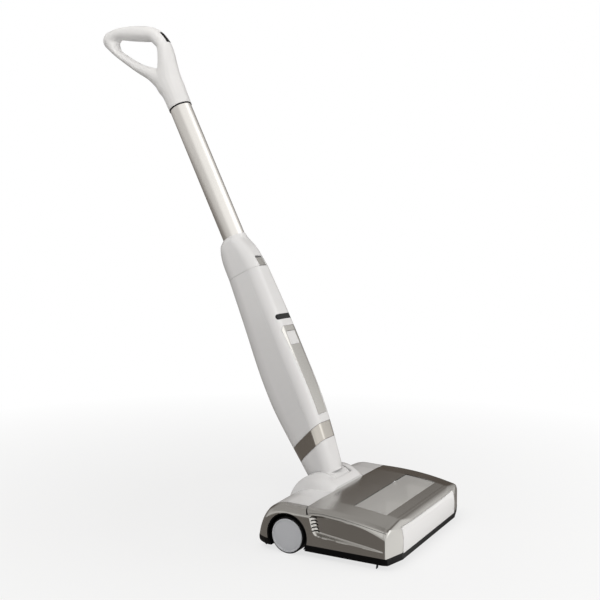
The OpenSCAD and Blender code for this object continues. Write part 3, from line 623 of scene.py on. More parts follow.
def section(half, top, drop):
    """Half of an upright section, from the middle of the top to the bottom edge, as (x, z)."""
    low = max(top - drop - 12, BASE_TOP + 0.4)
    # the level top, its slope, the bend over to the side, the side, and in towards the floor
    corners = [(0, top), (half - 55, top), (half - 15, max(top - drop, low + 2)),
               (half - 7, max(top - drop - 3.5, low + 1)), (half, low), (half, BASE_TOP - 1),
               (half - 3, 9)]
    radii = [0, 60, 1.4, 14, 10, 1.2, 0]
    points = []
    steps = iter(SECTION_STEPS)
    last = Vector(corners[0])
    for index in range(1, len(corners)):
        here = Vector(corners[index])
        stop = here
        if index < len(corners) - 1:
            before = last - here
            after = Vector(corners[index + 1]) - here
            reach = min(radii[index] / math.tan(before.angle(after) / 2), before.length * 0.48,
                        after.length * 0.45)
            stop = here + before.normalized() * reach
        count = next(steps)
        points += [last.lerp(stop, k / count) for k in range(count)]
        last = stop
        if index < len(corners) - 1:
            end = here + after.normalized() * reach
            count = next(steps)
            for k in range(count):
                f = k / count
                points.append(last.lerp(here, f).lerp(here.lerp(end, f), f))
            last = end
    points.append(last)
    return points


def head_rows():
    """Stations of the head from back to front: y, top, and steps down the flat front."""
    top, nose = head_size("top_height"), head_size("nose_radius")
    rows = []
    for k in range(BACK_ROWS):
        turn = math.radians(90 - 90 * k / BACK_ROWS)
        y = REAR_ARC[0] + (REAR - REAR_ARC[0]) * math.sin(turn)
        z = REAR_ARC[1] + (top + 1 - REAR_ARC[1]) * math.cos(turn)
        rows.append((y, max(z, BASE_TOP + 7), 0))
    for k in range(DECK_ROWS):
        f = k / DECK_ROWS
        rows.append((REAR_ARC[0] * (1 - f) + LID_REAR * f, top + 1 - f, 0))
    nose_y = nose - FRONT
    for k in range(LID_ROWS):
        y = LID_REAR + (nose_y - LID_REAR) * k / LID_ROWS
        rows.append((y, lid_z(y), 0))
    for k in range(NOSE_ROWS + 1):
        turn = math.radians(90 * k / NOSE_ROWS)
        rows.append((nose_y - nose * math.sin(turn),
                     lid_z(nose_y) - nose * (1 - math.cos(turn)), 0))
    for k in range(1, sum(SECTION_STEPS[SIDE_STEP:]) + 1):
        rows.append((-FRONT, lid_z(nose_y) - nose, k))
    return rows


def sections_at(rows):
    """The half section at each station."""
    return [section(half_width(y), top, edge_drop(y)) for y, top, _ in rows]


def head_skin():
    """The head's outer skin on the right side, as one sheet."""
    rows = head_rows()
    points = sections_at(rows)
    corner = sum(SECTION_STEPS[:SIDE_STEP])

    def place(column, row):
        y, _, down = rows[row]
        x, z = points[row][column]
        if down and column < corner:
            side_x, side_z = points[row][corner + down]
            low_x, low_z = points[row][corner]
            f = (low_z - side_z) / (low_z - points[row][-1][1])
            x *= side_x / low_x
            z += (points[row][-1][1] - z) * f
        elif down:
            x, z = points[row][max(column, corner + down)]
        return Vector((x, y, z))

    return sheet(len(points[0]) - 1, len(rows) - 1, place)


def distance_in(outline, p, q):
    """How far the point lies inside the outline; 0 outside."""
    if not inside(outline, p, q):
        return 0.0
    best = 1e9
    for (ap, aq), (bp, bq) in zip(outline, outline[1:] + outline[:1]):
        dp, dq = bp - ap, bq - aq
        f = max(0.0, min(1.0, ((p - ap) * dp + (q - aq) * dq) / (dp * dp + dq * dq)))
        best = min(best, math.hypot(p - ap - f * dp, q - aq - f * dq))
    return best


def eased(f):
    """Goes from 0 to 1 with a soft start and end."""
    f = max(0.0, min(1.0, f))
    return f * f * (3 - 2 * f)


def press_recess(bm):
    """Presses the side scoop into the skin: shallow at the front, deep next to the wheel."""
    depth = head_size("recess_depth")
    outline = rounded([(y, z - 2.4) for y, z in SIDE_SEAM] + [(y, z + 1) for y, z in SCOOP_LOW],
                      [6, 0, 0, 0, 0, 0, 0, 8, 12, 4], 4)
    pressed = []
    for vert in bm.verts:
        x, y, z = vert.co
        away = distance_in(outline, y, z) if x > HALF_W - 8 else 0.0
        if away > 0:
            full = 0.5 + (depth - 0.5) * min(1.0, (y + 170) / 118)
            full *= 1 - 0.7 * eased((y + 52) / 12)
            vert.co.x = min(x, HALF_W - full * eased(away / (1.6 + 0.30 * full)))
            pressed.append(vert)
    for _ in range(4):
        bmesh.ops.smooth_vert(bm, verts=pressed, factor=0.5, use_axis_x=True)


def vent_outline(index):
    """One slanted, slightly arched slot of the air outlet."""
    start = Vector((-56.2 + index * 1.25, 43.6 + index * 5.4))
    length, height, arch = 9.6 - 0.25 * index, 2.0, 1.3
    upper = []
    for k in range(7):
        f = k / 6
        upper.append((start.x + f * length,
                      start.y + f * length * 0.22 + arch * 4 * f * (1 - f)))
    return upper + [(p + 0.4, q - height) for p, q in reversed(upper)]


def build_side_cover(skin, side, name):
    """A silver cover round a wheel arch, with the scoop and its five vents."""
    bm = skin.copy()
    outline = [(-171.7, COVER_LOW), (70, COVER_LOW), (70, 120), (-30.4, 120), (-30.4, 78.6),
               (-35.2, 69.4), (-37.3, 69.4), *((y, z - 0.5) for y, z in SIDE_SEAM[:-1]),
               (-171.7, 58.0)]
    pierce(bm, outline, Y_AXIS, Z_AXIS, keep=True)
    cut_off(bm, Vector((DECK_X + head_size("groove") / 2, 0, 0)), -X_AXIS)
    press_recess(bm)
    beside = beyond(X_AXIS, DECK_X - 8)
    pierce(bm, ring_of(ARCH_R, 72, (0, WHEEL_R)), Y_AXIS, Z_AXIS, only=beside, reach=3.0)
    for index in range(5):
        pierce(bm, vent_outline(index), Y_AXIS, Z_AXIS, only=beside, reach=2.0)
    bmesh.ops.scale(bm, vec=(side, 1, 1), verts=bm.verts)
    skin_piece(f"arch_cover_{name}", bm, (0, -50, 30), HEAD, "silver_paint", "head",
               wall=2.3, edge=0.45, replaces=f"side_cover_{name}")


def build_lid(skin):
    """The silver lid, with the openings of the drawer and of the window."""
    bm = skin.copy()
    outline = [(LID_REAR - 0.3, 120), (LID_REAR - 0.3, 78), (-37.5, 70.5), *SIDE_SEAM,
               (-172, COVER_LOW), (-230, COVER_LOW), (-230, 120)]
    pierce(bm, outline, Y_AXIS, Z_AXIS, keep=True)
    pierce(bm, half_plate(119.5, 0, 59.9, 0, 3.0, 5), X_AXIS, Z_AXIS, only=beyond(-Y_AXIS, 171))
    pierce(bm, half_plate(111, -152, -94, 2.2, 2.2), X_AXIS, Y_AXIS, only=beyond(Z_AXIS, 60))
    skin_piece("lid", mirrored(bm), (0, -110, 30), HEAD, "silver_paint", "head",
               wall=2.4, edge=0.5, replaces="top_cover")


def build_window(skin):
    """The clear pane over the dust box, set a little below the lid's skin."""
    bm = skin.copy()
    pierce(bm, half_plate(110.7, -151.7, -94.3, 2.0, 2.0), X_AXIS, Y_AXIS,
           only=beyond(Z_AXIS, 60), keep=True)
    mirrored(bm)
    bmesh.ops.translate(bm, vec=(0, 0, -1.2), verts=bm.verts)
    skin_piece("dust_window", bm, (0, -120, 0), HEAD, "clear_window", "head",
               wall=2.2, edge=0.35, replaces="window")


def build_drawer_panel(skin):
    """The white face of the dust drawer."""
    bm = skin.copy()
    pierce(bm, half_plate(118.7, 18.2, 59.2, 1.0, 2.4), X_AXIS, Z_AXIS,
           only=beyond(-Y_AXIS, 172), keep=True)
    skin_piece("drawer_panel", mirrored(bm), (0, -120, 40), HEAD, "white_plastic", "drawer",
               wall=2.3, edge=0.5, replaces="drawer_face")


# ---------------------------------------------------------------- hood over the neck's drum

# the hood is a drum across the head with rounded ends; its middle lies drop below the pivot
HOOD = {"y": 8.0, "r": 52.5, "x": 69.0, "round": 25.0, "drop": 22}
NOWHERE = -50.0
# the slot that the neck moves in: half width, radius round the pivot with the rise of its
# front edge over the pivot, and rear end
SLOT_X, SLOT_R, SLOT_RISE, SLOT_REAR = 33.3, 33.5, 21.2, 57.2
CHEEK_FRONT, CHEEK_REAR, CHEEK_LOW = -28.0, 57.0, 39.0


def rear_arc(y, top):
    """Height of the head's round back, which starts level at top."""
    f = min(1.0, max(0.0, (y - REAR_ARC[0]) / (REAR - REAR_ARC[0])))
    return REAR_ARC[1] + (top - REAR_ARC[1]) * math.sqrt(1 - f * f)


def hood_z(x, y):
    """Height of the hood above the point, or far below where it doesn't reach."""
    shoulder = max(0.0, abs(x) - (HOOD["x"] - HOOD["round"]))
    bend = math.sqrt(max(0.0, HOOD["round"] ** 2 - shoulder ** 2))
    radius = HOOD["r"] - HOOD["round"] + bend
    away = abs(y - HOOD["y"])
    if abs(x) >= HOOD["x"] or away >= radius:
        return NOWHERE
    middle = PIVOT_Z - HOOD["drop"]
    return min(middle + math.sqrt(radius * radius - away * away),
               rear_arc(y, middle + HOOD["r"]))


def soft_max(a, b, ease):
    """The larger of the two, with a round where they meet."""
    return max(a, b) + max(0.0, ease - abs(a - b)) ** 2 / (4 * ease)


def build_housing():
    """The white deck behind the lid with the hood that rises round the neck."""
    rows = [r for r in head_rows() if r[0] >= LID_REAR - 3]
    sections = sections_at(rows)
    edge = DECK_X - head_size("groove") / 2
    side_end = sum(SECTION_STEPS[:SIDE_STEP + 1])
    columns = 128

    def surface(points, x):
        for (ax, az), (bx, bz) in zip(points, points[1:]):
            if bx >= x:
                return az + (bz - az) * (x - ax) / max(1e-6, bx - ax)
        return points[-1][1]

    def place(column, row):
        y = rows[row][0]
        x = edge * column / columns
        z = surface(sections[row], min(x, sections[row][side_end][0] - 0.01))
        ease = 5.0 * min(1.0, max(0.0, (REAR - y) / 8))
        return Vector((x, y, soft_max(z, hood_z(x, y), ease + 0.01)))

    bm = sheet(columns, len(rows) - 1, place)
    # the back wall runs straight down to the base
    sink(bm, beyond(Y_AXIS, REAR - 0.01), lambda p: Vector((p.x, p.y, COVER_LOW)))
    cut_off(bm, Vector((0, LID_REAR + 0.1, 0)), -Y_AXIS)
    sink(bm, lambda p: p.y < LID_REAR + 0.11 and p.x < edge - 0.01,
         lambda p: Vector((p.x, p.y, p.z - 6)))
    front = PIVOT_Y - math.sqrt(SLOT_R ** 2 - SLOT_RISE ** 2)
    pierce(bm, half_plate(SLOT_X, front, SLOT_REAR, 3.0, 1.5), X_AXIS, Y_AXIS)
    skin_piece("pivot_hood", mirrored(bm), (0, 10, 30), HEAD, "white_plastic", "head",
               wall=2.5, edge=0.8, segments=3, replaces="pivot_housing")


def build_cheeks():
    """Walls on both sides of the slot, from the hood's skin down beside the drum."""
    columns, rows = 34, 4

    def place(column, row):
        y = CHEEK_FRONT + (CHEEK_REAR - CHEEK_FRONT) * column / columns
        deck = rear_arc(y, head_size("top_height") + 1)
        top = soft_max(deck, hood_z(SLOT_X, y), 4.0) - 1.4
        return Vector((SLOT_X + 0.1, y, top + (min(CHEEK_LOW, top) - top) * row / rows))

    for side, name in SIDES:
        bm = sheet(columns, rows, place)
        bmesh.ops.scale(bm, vec=(side, 1, 1), verts=bm.verts)
        # their outer faces look into the slot
        skin_piece(f"slot_cheek_{name}", bm, (side * 2 * SLOT_X, 0, CHEEK_LOW), HEAD,
                   "white_plastic", "head", wall=2.3, edge=0.4)


# ---------------------------------------------------------------- form of the stick

# height up the stick, half width, and how far before the pivot the middles of the round back
# and of the front corners lie
STICK_ROWS = [(20, 30.2, 0, 7), (34, 31, -0.2, 10), (110, 33.5, -6.5, 20),
              (160, 34.8, -9.7, 23.8), (195, 35.1, -9.7, 24.8), (240, 35, -7.9, 25),
              (320, 33.4, -2.4, 26), (410, 30, 1, 25.5)]
COLLAR_ROWS = [(410, 30, 1, 25.5), (449, 28.5, 1, 20.1), (474, 26.8, 6.7, 12),
               (482, 22.4, 11.35, 11.35)]
NECK_LOW, NECK_TOP, BAND_TOP, BODY_TOP, COLLAR_TOP = 20, 66.0, 94.0, 410.0, 482.0
FRONT_ROUND = 20.0
# how far before the pivot the body's two shells meet
SPLIT = 24.5
in_front = beyond(-Y_AXIS, 12)


def along(rows, s):
    """The rows' values at height s on one smooth curve."""
    s = max(rows[0][0], min(rows[-1][0], s))
    k = max(i for i in range(len(rows) - 1) if rows[i][0] <= s)
    p0, p1 = rows[max(0, k - 1)], rows[k]
    p2, p3 = rows[k + 1], rows[min(len(rows) - 1, k + 2)]
    span = p2[0] - p1[0]
    f = (s - p1[0]) / span
    out = []
    for c in range(1, 4):
        m1 = m2 = p2[c] - p1[c]
        if p0 is not p1:
            m1 = (p2[c] - p0[c]) / (p2[0] - p0[0]) * span
        if p3 is not p2:
            m2 = (p3[c] - p1[c]) / (p3[0] - p1[0]) * span
        out.append((2 * f ** 3 - 3 * f ** 2 + 1) * p1[c] + (f ** 3 - 2 * f ** 2 + f) * m1
                   + (-2 * f ** 3 + 3 * f ** 2) * p2[c] + (f ** 3 - f ** 2) * m2)
    return out


def outline_at(values, turn):
    """The point of the three-round section whose skin looks in direction turn (0 is the side)."""
    half, rear_t, front_t = values
    corner = min(FRONT_ROUND, half - 2)
    c, s = math.cos(turn), math.sin(turn)
    rounds = [(0.0, rear_t, half), (half - corner, front_t, corner),
              (corner - half, front_t, corner)]
    x, t, r = max(rounds, key=lambda item: item[0] * c + item[1] * s + item[2])
    return x + r * c, t + r * s


def tube(rows, low, high, climb_low, climb_high, spacing, count=120):
    """The stick's skin between two cuts, each of which may climb towards the front."""
    steps = int((high - low) / spacing)

    def place(column, row):
        f = row / steps
        s = low + (high - low) * f
        # the height and the outline there depend on each other, and settle in a few rounds
        for _ in range(4):
            x, t = outline_at(along(rows, s), 2 * math.pi * column / count)
            s = (low + t * climb_low) * (1 - f) + (high + t * climb_high) * f
        return Vector((x, -t, s))

    return sheet(count, steps, place)


def build_neck():
    """The white neck, and its drum that turns in the hood."""
    bm = tube(STICK_ROWS, NECK_LOW, NECK_TOP - stick_size("seam"), 0.0, band_climb(), 3.0)
    skin_piece("neck_shell", bm, (0, 0, 45), STICK, "white_plastic", wall=2.8, edge=0.5,
               replaces="neck")
    half, r = 31.5, 31.0
    profile = [(-half + 1.0, 8.2), (-half + 0.4, 9.0), (-half, 10), (-half, r - 2.2),
               (-half + 0.65, r - 0.65), (-half + 2.2, r), (-half + 8, r),
               (-half + 8.4, r - 0.5), (-half + 9.0, r - 0.5), (-half + 9.4, r)]
    profile += [(-x, y) for x, y in reversed(profile)]
    shaped("neck_drum", turned([*profile, profile[0]]), STICK, "white_plastic", "stick",
           limit=30)


def build_band():
    """The slanted silver band between the neck and the body."""
    climb = band_climb()
    bm = tube(STICK_ROWS, NECK_TOP, BAND_TOP - stick_size("seam"), climb, climb, 2.5)
    skin_piece("silver_band", bm, (0, 0, 80), STICK, "dark_silver", wall=1.9, edge=0.35,
               replaces="band")


# the inlay's corners across and up the body's front, with the radius of each
INLAY = [(-15.5, 122), (15.5, 122), (19.5, 216), (24.6, 283), (20, 291), (-20, 291),
         (-24.6, 283), (-19.5, 216)]
INLAY_ROUNDS = [2, 2, 0, 6, 4, 4, 6, 0]
DISPLAY_S, BUTTON_S = 309, 267.5


def grown(outline, by):
    """The outline moved outwards by the given amount."""
    out = []
    count = len(outline)
    for index, point in enumerate(outline):
        here = Vector(point)
        before = (here - Vector(outline[index - 1])).normalized()
        after = (Vector(outline[(index + 1) % count]) - here).normalized()
        mean = Vector((before.y + after.y, -before.x - after.x)).normalized()
        out.append(tuple(here + mean * by / max(0.4, mean.dot(Vector((before.y, -before.x))))))
    return out


def build_body():
    """The front and rear shells, and the inlay, the display and the key in the front."""
    seam = stick_size("seam") / 3
    skin = tube(STICK_ROWS, BAND_TOP, BODY_TOP - stick_size("seam"), band_climb(), 0.0, 3.6, 168)
    middle = (0, 0, 250)

    bm = cut_off(skin.copy(), Vector((0, -SPLIT - seam / 2, 0)), Y_AXIS)
    pierce(bm, rounded(grown(INLAY, 0.3), INLAY_ROUNDS, 4), X_AXIS, Z_AXIS, in_front)
    pierce(bm, plate(25.9, DISPLAY_S, 5.1, 5.0, 6), X_AXIS, Z_AXIS, in_front)
    skin_piece("body_shell_front", bm, middle, STICK, "white_plastic", wall=2.4, edge=0.4,
               replaces="body_front")

    bm = cut_off(skin.copy(), Vector((0, -SPLIT + seam / 2, 0)), -Y_AXIS)
    # two screw holes and the charging hole: height, radius, corners, and where the floor lies
    holes = [(104, 3.4, 20, 9.2), (370, 3.4, 20, 9.2), (345, 5.2, 28, 30.5)]
    for s, radius, corners, _ in holes:
        pierce(bm, ring_of(radius, corners, (0, s)), X_AXIS, Z_AXIS, beyond(Y_AXIS, 10),
               reach=3.0)
    for s, radius, _, floor in holes:
        sink(bm, lambda p: p.y > 20 and math.hypot(p.x, p.z - s) < radius + 0.1,
             lambda p: Vector((p.x, floor, p.z)))
    skin_piece("body_shell_rear", bm, middle, STICK, "white_plastic", wall=2.4, edge=0.4,
               replaces="body_rear")

    bm = pierce(skin.copy(), rounded(INLAY, INLAY_ROUNDS, 4), X_AXIS, Z_AXIS, in_front, True)
    pierce(bm, plate(13.5, BUTTON_S, 13.0, 4.2), X_AXIS, Z_AXIS, in_front)
    skin_piece("front_inlay", bm, middle, STICK, "silver_paint", wall=1.2, edge=0.3,
               replaces="inlay")

    bm = pierce(skin.copy(), plate(25.5, DISPLAY_S, 4.7, 4.6, 6), X_AXIS, Z_AXIS, in_front, True)
    skin_piece("display_lens", bm, middle, STICK, "gloss_black", wall=1.4, edge=0.3,
               replaces="display")

    half_w, half_h = 13.0, 12.5
    bm = pierce(skin.copy(), plate(half_w, BUTTON_S, half_h, 3.8), X_AXIS, Z_AXIS, in_front,
                True)
    for vert in bm.verts:
        rise = (eased((half_w - abs(vert.co.x)) / 5)
                * eased((half_h - abs(vert.co.z - BUTTON_S)) / 5))
        vert.co.y += 0.5 * (1 - rise) - 0.1
    skin_piece("power_key", bm, middle, STICK, "white_plastic", "power_button_body", wall=2.2,
               edge=0.5, segments=3, replaces="power_button")
    skin.free()


def build_collar():
    """The white collar at the foot of the pole, and the ribbed latch in its front."""
    bm = tube(COLLAR_ROWS, BODY_TOP, COLLAR_TOP, 0.0, 0.0, 2.0, 132)
    pierce(bm, plate(11.4, 418, 13.0, 2.5), X_AXIS, Z_AXIS, in_front)
    sink(bm, lambda p: p.y < -20 and BODY_TOP + 0.2 < p.z < 432,
         lambda p: Vector((p.x, p.y + 6.5, p.z)))
    skin_piece("collar_shell", bm, (0, -10, 445), STICK, "white_plastic", wall=1.25, edge=0.45,
               replaces="collar")

    half_w, middle, half_h, ribs = 10.9, 418.9, 8.2, 5
    bm = tube(COLLAR_ROWS, BODY_TOP, COLLAR_TOP, 0.0, 0.0, 1.5, 132)
    pierce(bm, plate(half_w, middle, half_h, 2.0), X_AXIS, Z_AXIS, in_front, True)
    for vert in bm.verts:
        height = (vert.co.z - middle + half_h) / (2 * half_h)
        ridge = 0.45 * math.sin(height * ribs * 2 * math.pi)
        vert.co.y += 0.5 - ridge * eased((half_w - abs(vert.co.x)) / 3)
    skin_piece("latch_key", bm, (0, 0, 419), STICK, "silver_paint", "latch_body", wall=3.0,
               edge=0.4, replaces="latch")


def build_pole():
    """The metal tube and the black ring at its top."""
    r, low, top = POLE_R, 396.0, RING_TOP_S - 2.4
    profile = [(low, r - 1.2), (low, r - 0.25), (low + 0.25, r)]
    profile += [(low + (top - low) * k / 24, r) for k in range(1, 24)]
    profile += [(top - 0.25, r), (top, r - 0.25), (top, r - 1.2), (low, r - 1.2)]
    shaped("pole_tube", turned(profile, "Z"), POLE, "brushed_tube", "stick", limit=30,
           replaces="pole")
    profile = [(top + up, r + out) for up, out in (
        (0.1, -1.1), (0.1, 0.7), (0.5, 1.2), (1.9, 1.2), (2.3, 0.7), (2.3, -1.1), (0.1, -1.1))]
    shaped("pole_ring", turned(profile, "Z"), POLE, "gloss_black", "stick", limit=25,
           replaces="ring")


# ---------------------------------------------------------------- handle

# balls of the handle's chains: height over the ring, how far before the pole's middle, and the
# radius seen from the side and from the front
GRIP = {
    "base": [(0, 0, 22.4, 22.4), (36, 0, 24.3, 22), (59, -2.5, 28, 20.5)],
    "front": [(79, 6.5, 21, 19), (101, 14.5, 17, 17.5), (123, 19, 13.8, 15.5),
              (142, 13.5, 14, 15)],
    "top": [(155, 5.5, 13.6, 15), (167, -11, 15, 15), (186, -40, 14.2, 14.5),
            (200, -65, 11.8, 14), (200, -87.5, 17.5, 14)],
    "strut": [(175, -86, 8.2, 13.5), (154, -75.5, 7.7, 13), (116, -51.5, 9.2, 14),
              (88, -28.5, 13, 16), (66, -11, 21, 19)],
}
GRIP_SCREWS = [(62, -8), (128, -59), (194, -82)]
CHAIN_STEPS, CHAIN_BEND = 3, 0.4
# the middle of the switch's opening, how far round it the skin counts, and its tilt
SWITCH_AT, SWITCH_REACH = Vector((0, -29.6, 135.5)), 22
SWITCH_TURN = math.radians(18)


def ball(bm, row):
    """A squashed ball of the handle's chain."""
    s, t, r, w = row
    place = Matrix.Translation((0, -t, s)) @ Matrix.Diagonal((w, r, r, 1))
    bmesh.ops.create_icosphere(bm, subdivisions=3, radius=1.0, matrix=place)


def eased_chain(rows):
    """The rows of a chain with more rows between them, on a smooth curve."""
    rows = [Vector(row) for row in rows]
    ends = [rows[0]] + rows + [rows[-1]]
    chain = []
    for k in range(1, len(rows)):
        before, a, b, after = ends[k - 1:k + 3]
        for step in range(CHAIN_STEPS):
            f = step / CHAIN_STEPS
            bend = (b - before) * (f * (1 - f) ** 2) - (after - a) * (f * f * (1 - f))
            chain.append(a.lerp(b, eased(f)) + bend * CHAIN_BEND)
    return chain + [rows[-1]]


def grip_solid():
    """Hulls between neighbouring balls, grown together into one smooth loop."""
    loops = [GRIP["base"] + GRIP["front"] + GRIP["top"],
             [GRIP["top"][-1]] + GRIP["strut"] + [GRIP["base"][-1]]]
    whole = bmesh.new()
    for rows in map(eased_chain, loops):
        for first, second in zip(rows, rows[1:]):
            link = bmesh.new()
            ball(link, first)
            ball(link, second)
            hull = bmesh.ops.convex_hull(link, input=link.verts)
            loose = dict.fromkeys(g for g in hull["geom_interior"] + hull["geom_unused"]
                                  if isinstance(g, bmesh.types.BMVert))
            bmesh.ops.delete(link, geom=list(loose), context="VERTS")
            bmesh.ops.recalc_face_normals(link, faces=link.faces)
            mesh = bpy.data.meshes.new("link")
            link.to_mesh(mesh)
            link.free()
            whole.from_mesh(mesh)
            bpy.data.meshes.remove(mesh)
    return whole


def remeshed(bm, cell, passes):
    """The mesh grown together on a grid of small cells and smoothed."""
    mesh = bpy.data.meshes.new("grip")
    bm.to_mesh(mesh)
    bm.free()
    work = bpy.data.objects.new("grip", mesh)
    bpy.context.scene.collection.objects.link(work)
    grow = work.modifiers.new("grow", "REMESH")
    grow.mode = "VOXEL"
    grow.voxel_size = cell
    soften = work.modifiers.new("soften", "SMOOTH")
    soften.factor = 0.5
    soften.iterations = passes
    graph = bpy.context.evaluated_depsgraph_get()
    result = bmesh.new()
    result.from_mesh(work.evaluated_get(graph).to_mesh())
    bpy.data.objects.remove(work)
    bpy.data.meshes.remove(mesh)
    return result


def build_handle():
    """The loop handle's two halves, with the switch's opening and the screws' holes."""
    passes = bpy.context.scene.sweeper_stick.grip_smoothing
    solid = remeshed(grip_solid(), stick_size("grip_cell"), passes)
    cut_off(solid, Vector((0, 0, 0.15)), -Z_AXIS)
    into = Vector((0, math.cos(SWITCH_TURN), -math.sin(SWITCH_TURN)))
    strip = Vector((0, math.sin(SWITCH_TURN), math.cos(SWITCH_TURN)))

    def near(point):
        return (point - SWITCH_AT).length < SWITCH_REACH

    pierce(solid, plate(6.5, SWITCH_AT.dot(strip), 13.4, 2.0, 4), X_AXIS, strip,
           only=lambda p: near(p) and (p - SWITCH_AT).dot(into) < 5, reach=3.0)
    sink(solid, lambda p: near(p) and p.z > 20, lambda p: p + into * 5.0)
    for side, name in SIDES:
        bm = cut_off(solid.copy(), Vector((side * 0.03, 0, 0)), -X_AXIS * side)
        for s, t in GRIP_SCREWS if side > 0 else ():
            pierce(bm, ring_of(2.7, 20, (-t, s)), Y_AXIS, Z_AXIS, beyond(X_AXIS, 6), reach=2.0)
            sink(bm, lambda p: p.x > 6 and math.hypot(p.y + t, p.z - s) < 2.8,
                 lambda p: Vector((4.0, p.y, p.z)))
        skin_piece(f"grip_half_{name}", bm, (0, 20, 100), HANDLE, "white_handle", wall=2.2,
                   edge=0.12, limit=60, replaces=f"handle_{name}")
    solid.free()


# ---------------------------------------------------------------- wheels

def build_wheels():
    """Tyres with a grooved tread, and caps with a raised rim."""
    r, inner, outer = WHEEL_R, TYRE_LOW.x, TYRE_HIGH.x
    tread = [(inner, r - 2.4), (inner, r - 1.2), (inner + 0.4, r - 0.4), (inner + 1.2, r)]
    for k in range(1, 6):
        at = inner + (outer - inner) * k / 6
        tread += [(at - 0.5, r), (at - 0.35, r - 0.5), (at + 0.35, r - 0.5), (at + 0.5, r)]
    tread += [(outer - 1.2, r), (outer - 0.4, r - 0.4), (outer, r - 1.2), (outer, r - 2.4),
              (inner, r - 2.4)]
    lip = r - 2.5
    dish = lip - head_size("cap_rim")
    # how far each ring of the cap lies inside the cover's face, and its radius
    cap = [(HALF_W - deep, radius) for deep, radius in (
        (2.5, 0.0), (2.5, lip), (0.7, lip), (0.2, lip - 0.25), (0, lip - 0.8), (0, dish),
        (0.25, dish - 0.3), (0.9, dish - 0.6), (0.9, dish - 1.2), (0.75, dish - 2.0),
        (0.5, 12.0), (0.35, 6.0), (0.3, 0.0))]
    for side, name in SIDES:
        place = HEAD @ Matrix.Translation((0, 0, r)) @ Matrix.Diagonal((side, 1, 1, 1))
        shaped(f"tyre_ring_{name}", turned(tread), place, "tyre_rubber", f"wheel_{name}",
               limit=50, replaces=f"tyre_{name}")
        shaped(f"cap_disc_{name}", turned(cap), place, "cap_grey", f"wheel_{name}",
               limit=35, replaces=f"wheel_cap_{name}")


# ---------------------------------------------------------------- stage

# how much darker the floor's specks are
FLOOR_SPECK = 0.03
# the camera's place in metres, and the slopes at which it looks down and aside from +X
CAMERA_AT = Vector((-1.4035, -0.8702, 0.5128))
CAMERA_DOWN, CAMERA_ASIDE = 63 / 899, 497 / 899


# where the parts of the room lie that metal shows
FRONT_WAY, LEFT_WAY = (-0.087, -0.996, 0.0), (-0.77, 0.64, 0)
SCREEN_WAY, GLOW_WAY = (-0.50, -0.55, 0.67), (0.34, -0.78, 0.52)


class Surroundings(Nodes):
    """The nodes of the floor or of the world, in an emptied tree."""

    def __init__(self, tree):
        super().__init__(tree)
        tree.nodes.clear()
        self.path = self.add("ShaderNodeLightPath").outputs
        self.clear = self.math("ADD", self.path["Is Camera Ray"],
                               self.path["Is Transmission Ray"], True)

    def mix(self, factor, a, b):
        return self.add("ShaderNodeMixShader", {0: factor, 1: a, 2: b}).outputs[0]

    def room(self, way, stage, start, stop, least=0.0, walls=False):
        """The room as metal shows it: bright in front, dim behind.

        Walls adds a pale wall low on the left, a pale screen above it, a pale back and a small
        bright screen in front, under a dim ceiling.
        """
        near = self.ramp(self.dot(way, FRONT_WAY), start, stop, least, 1, True)
        if walls:
            height = self.dot(way, Z_AXIS)
            near = self.math("MULTIPLY", near, self.ramp(height, 0.50, 0.80, 1, 0, True))
            wall = self.math("MULTIPLY", self.ramp(height, 0.35, 0.70, 1, 0, True),
                             self.ramp(self.dot(way, LEFT_WAY), 0, 0.8, 0, 0.62, True))
            screen = self.ramp(self.dot(way, SCREEN_WAY), 0.45, 0.85, 0, 0.95, True)
            back = self.math("MULTIPLY", self.ramp(height, 0.20, 0.60, 0, 0.36, True),
                             self.ramp(self.dot(way, Y_AXIS), -0.10, 0.15, 0, 1, True))
            for light in (wall, screen, back):
                near = self.math("MAXIMUM", near, light)
        near = self.math("MULTIPLY", near, stage.plain)
        if walls:
            glow = self.ramp(self.dot(way, GLOW_WAY), 0.87, 0.96, 0, 1, True)
            near = self.math("MAXIMUM", near, glow)
        return self.tint(near, stage.far_end, stage.near_end)


def floor_material(stage):
    """Matt and pale; white to the camera further out; in metal bright in front, dim behind."""
    material = bpy.data.materials.new("studio_floor")
    material.use_nodes = True
    nodes = Surroundings(material.node_tree)
    front_y = (FRONT - AXLE_Y) * MM
    place = nodes.add("ShaderNodeTexCoord").outputs["Object"]
    away = nodes.add("ShaderNodeVectorMath", {0: place}, operation="LENGTH").outputs["Value"]
    speck = nodes.add("ShaderNodeTexNoise", {"Vector": place, "Scale": 60}).outputs["Fac"]
    darker = [c * (1 - FLOOR_SPECK) for c in stage.floor]
    matt = nodes.add("ShaderNodeBsdfDiffuse", {
        "Color": nodes.tint(speck, stage.floor, darker)}).outputs[0]
    white = nodes.add("ShaderNodeEmission", {"Color": (1, 1, 1, 1)}).outputs[0]
    room = nodes.add("ShaderNodeEmission", {
        "Color": nodes.room(place, stage, front_y - 0.01, front_y + 0.05, 0.10)}).outputs[0]
    seen = nodes.math("MULTIPLY", nodes.clear, nodes.ramp(away, 0.25, 1.3, 0.72, 1.0))
    surface = nodes.mix(nodes.path["Is Glossy Ray"], nodes.mix(seen, matt, white), room)
    nodes.add("ShaderNodeOutputMaterial", {"Surface": surface})
    return material


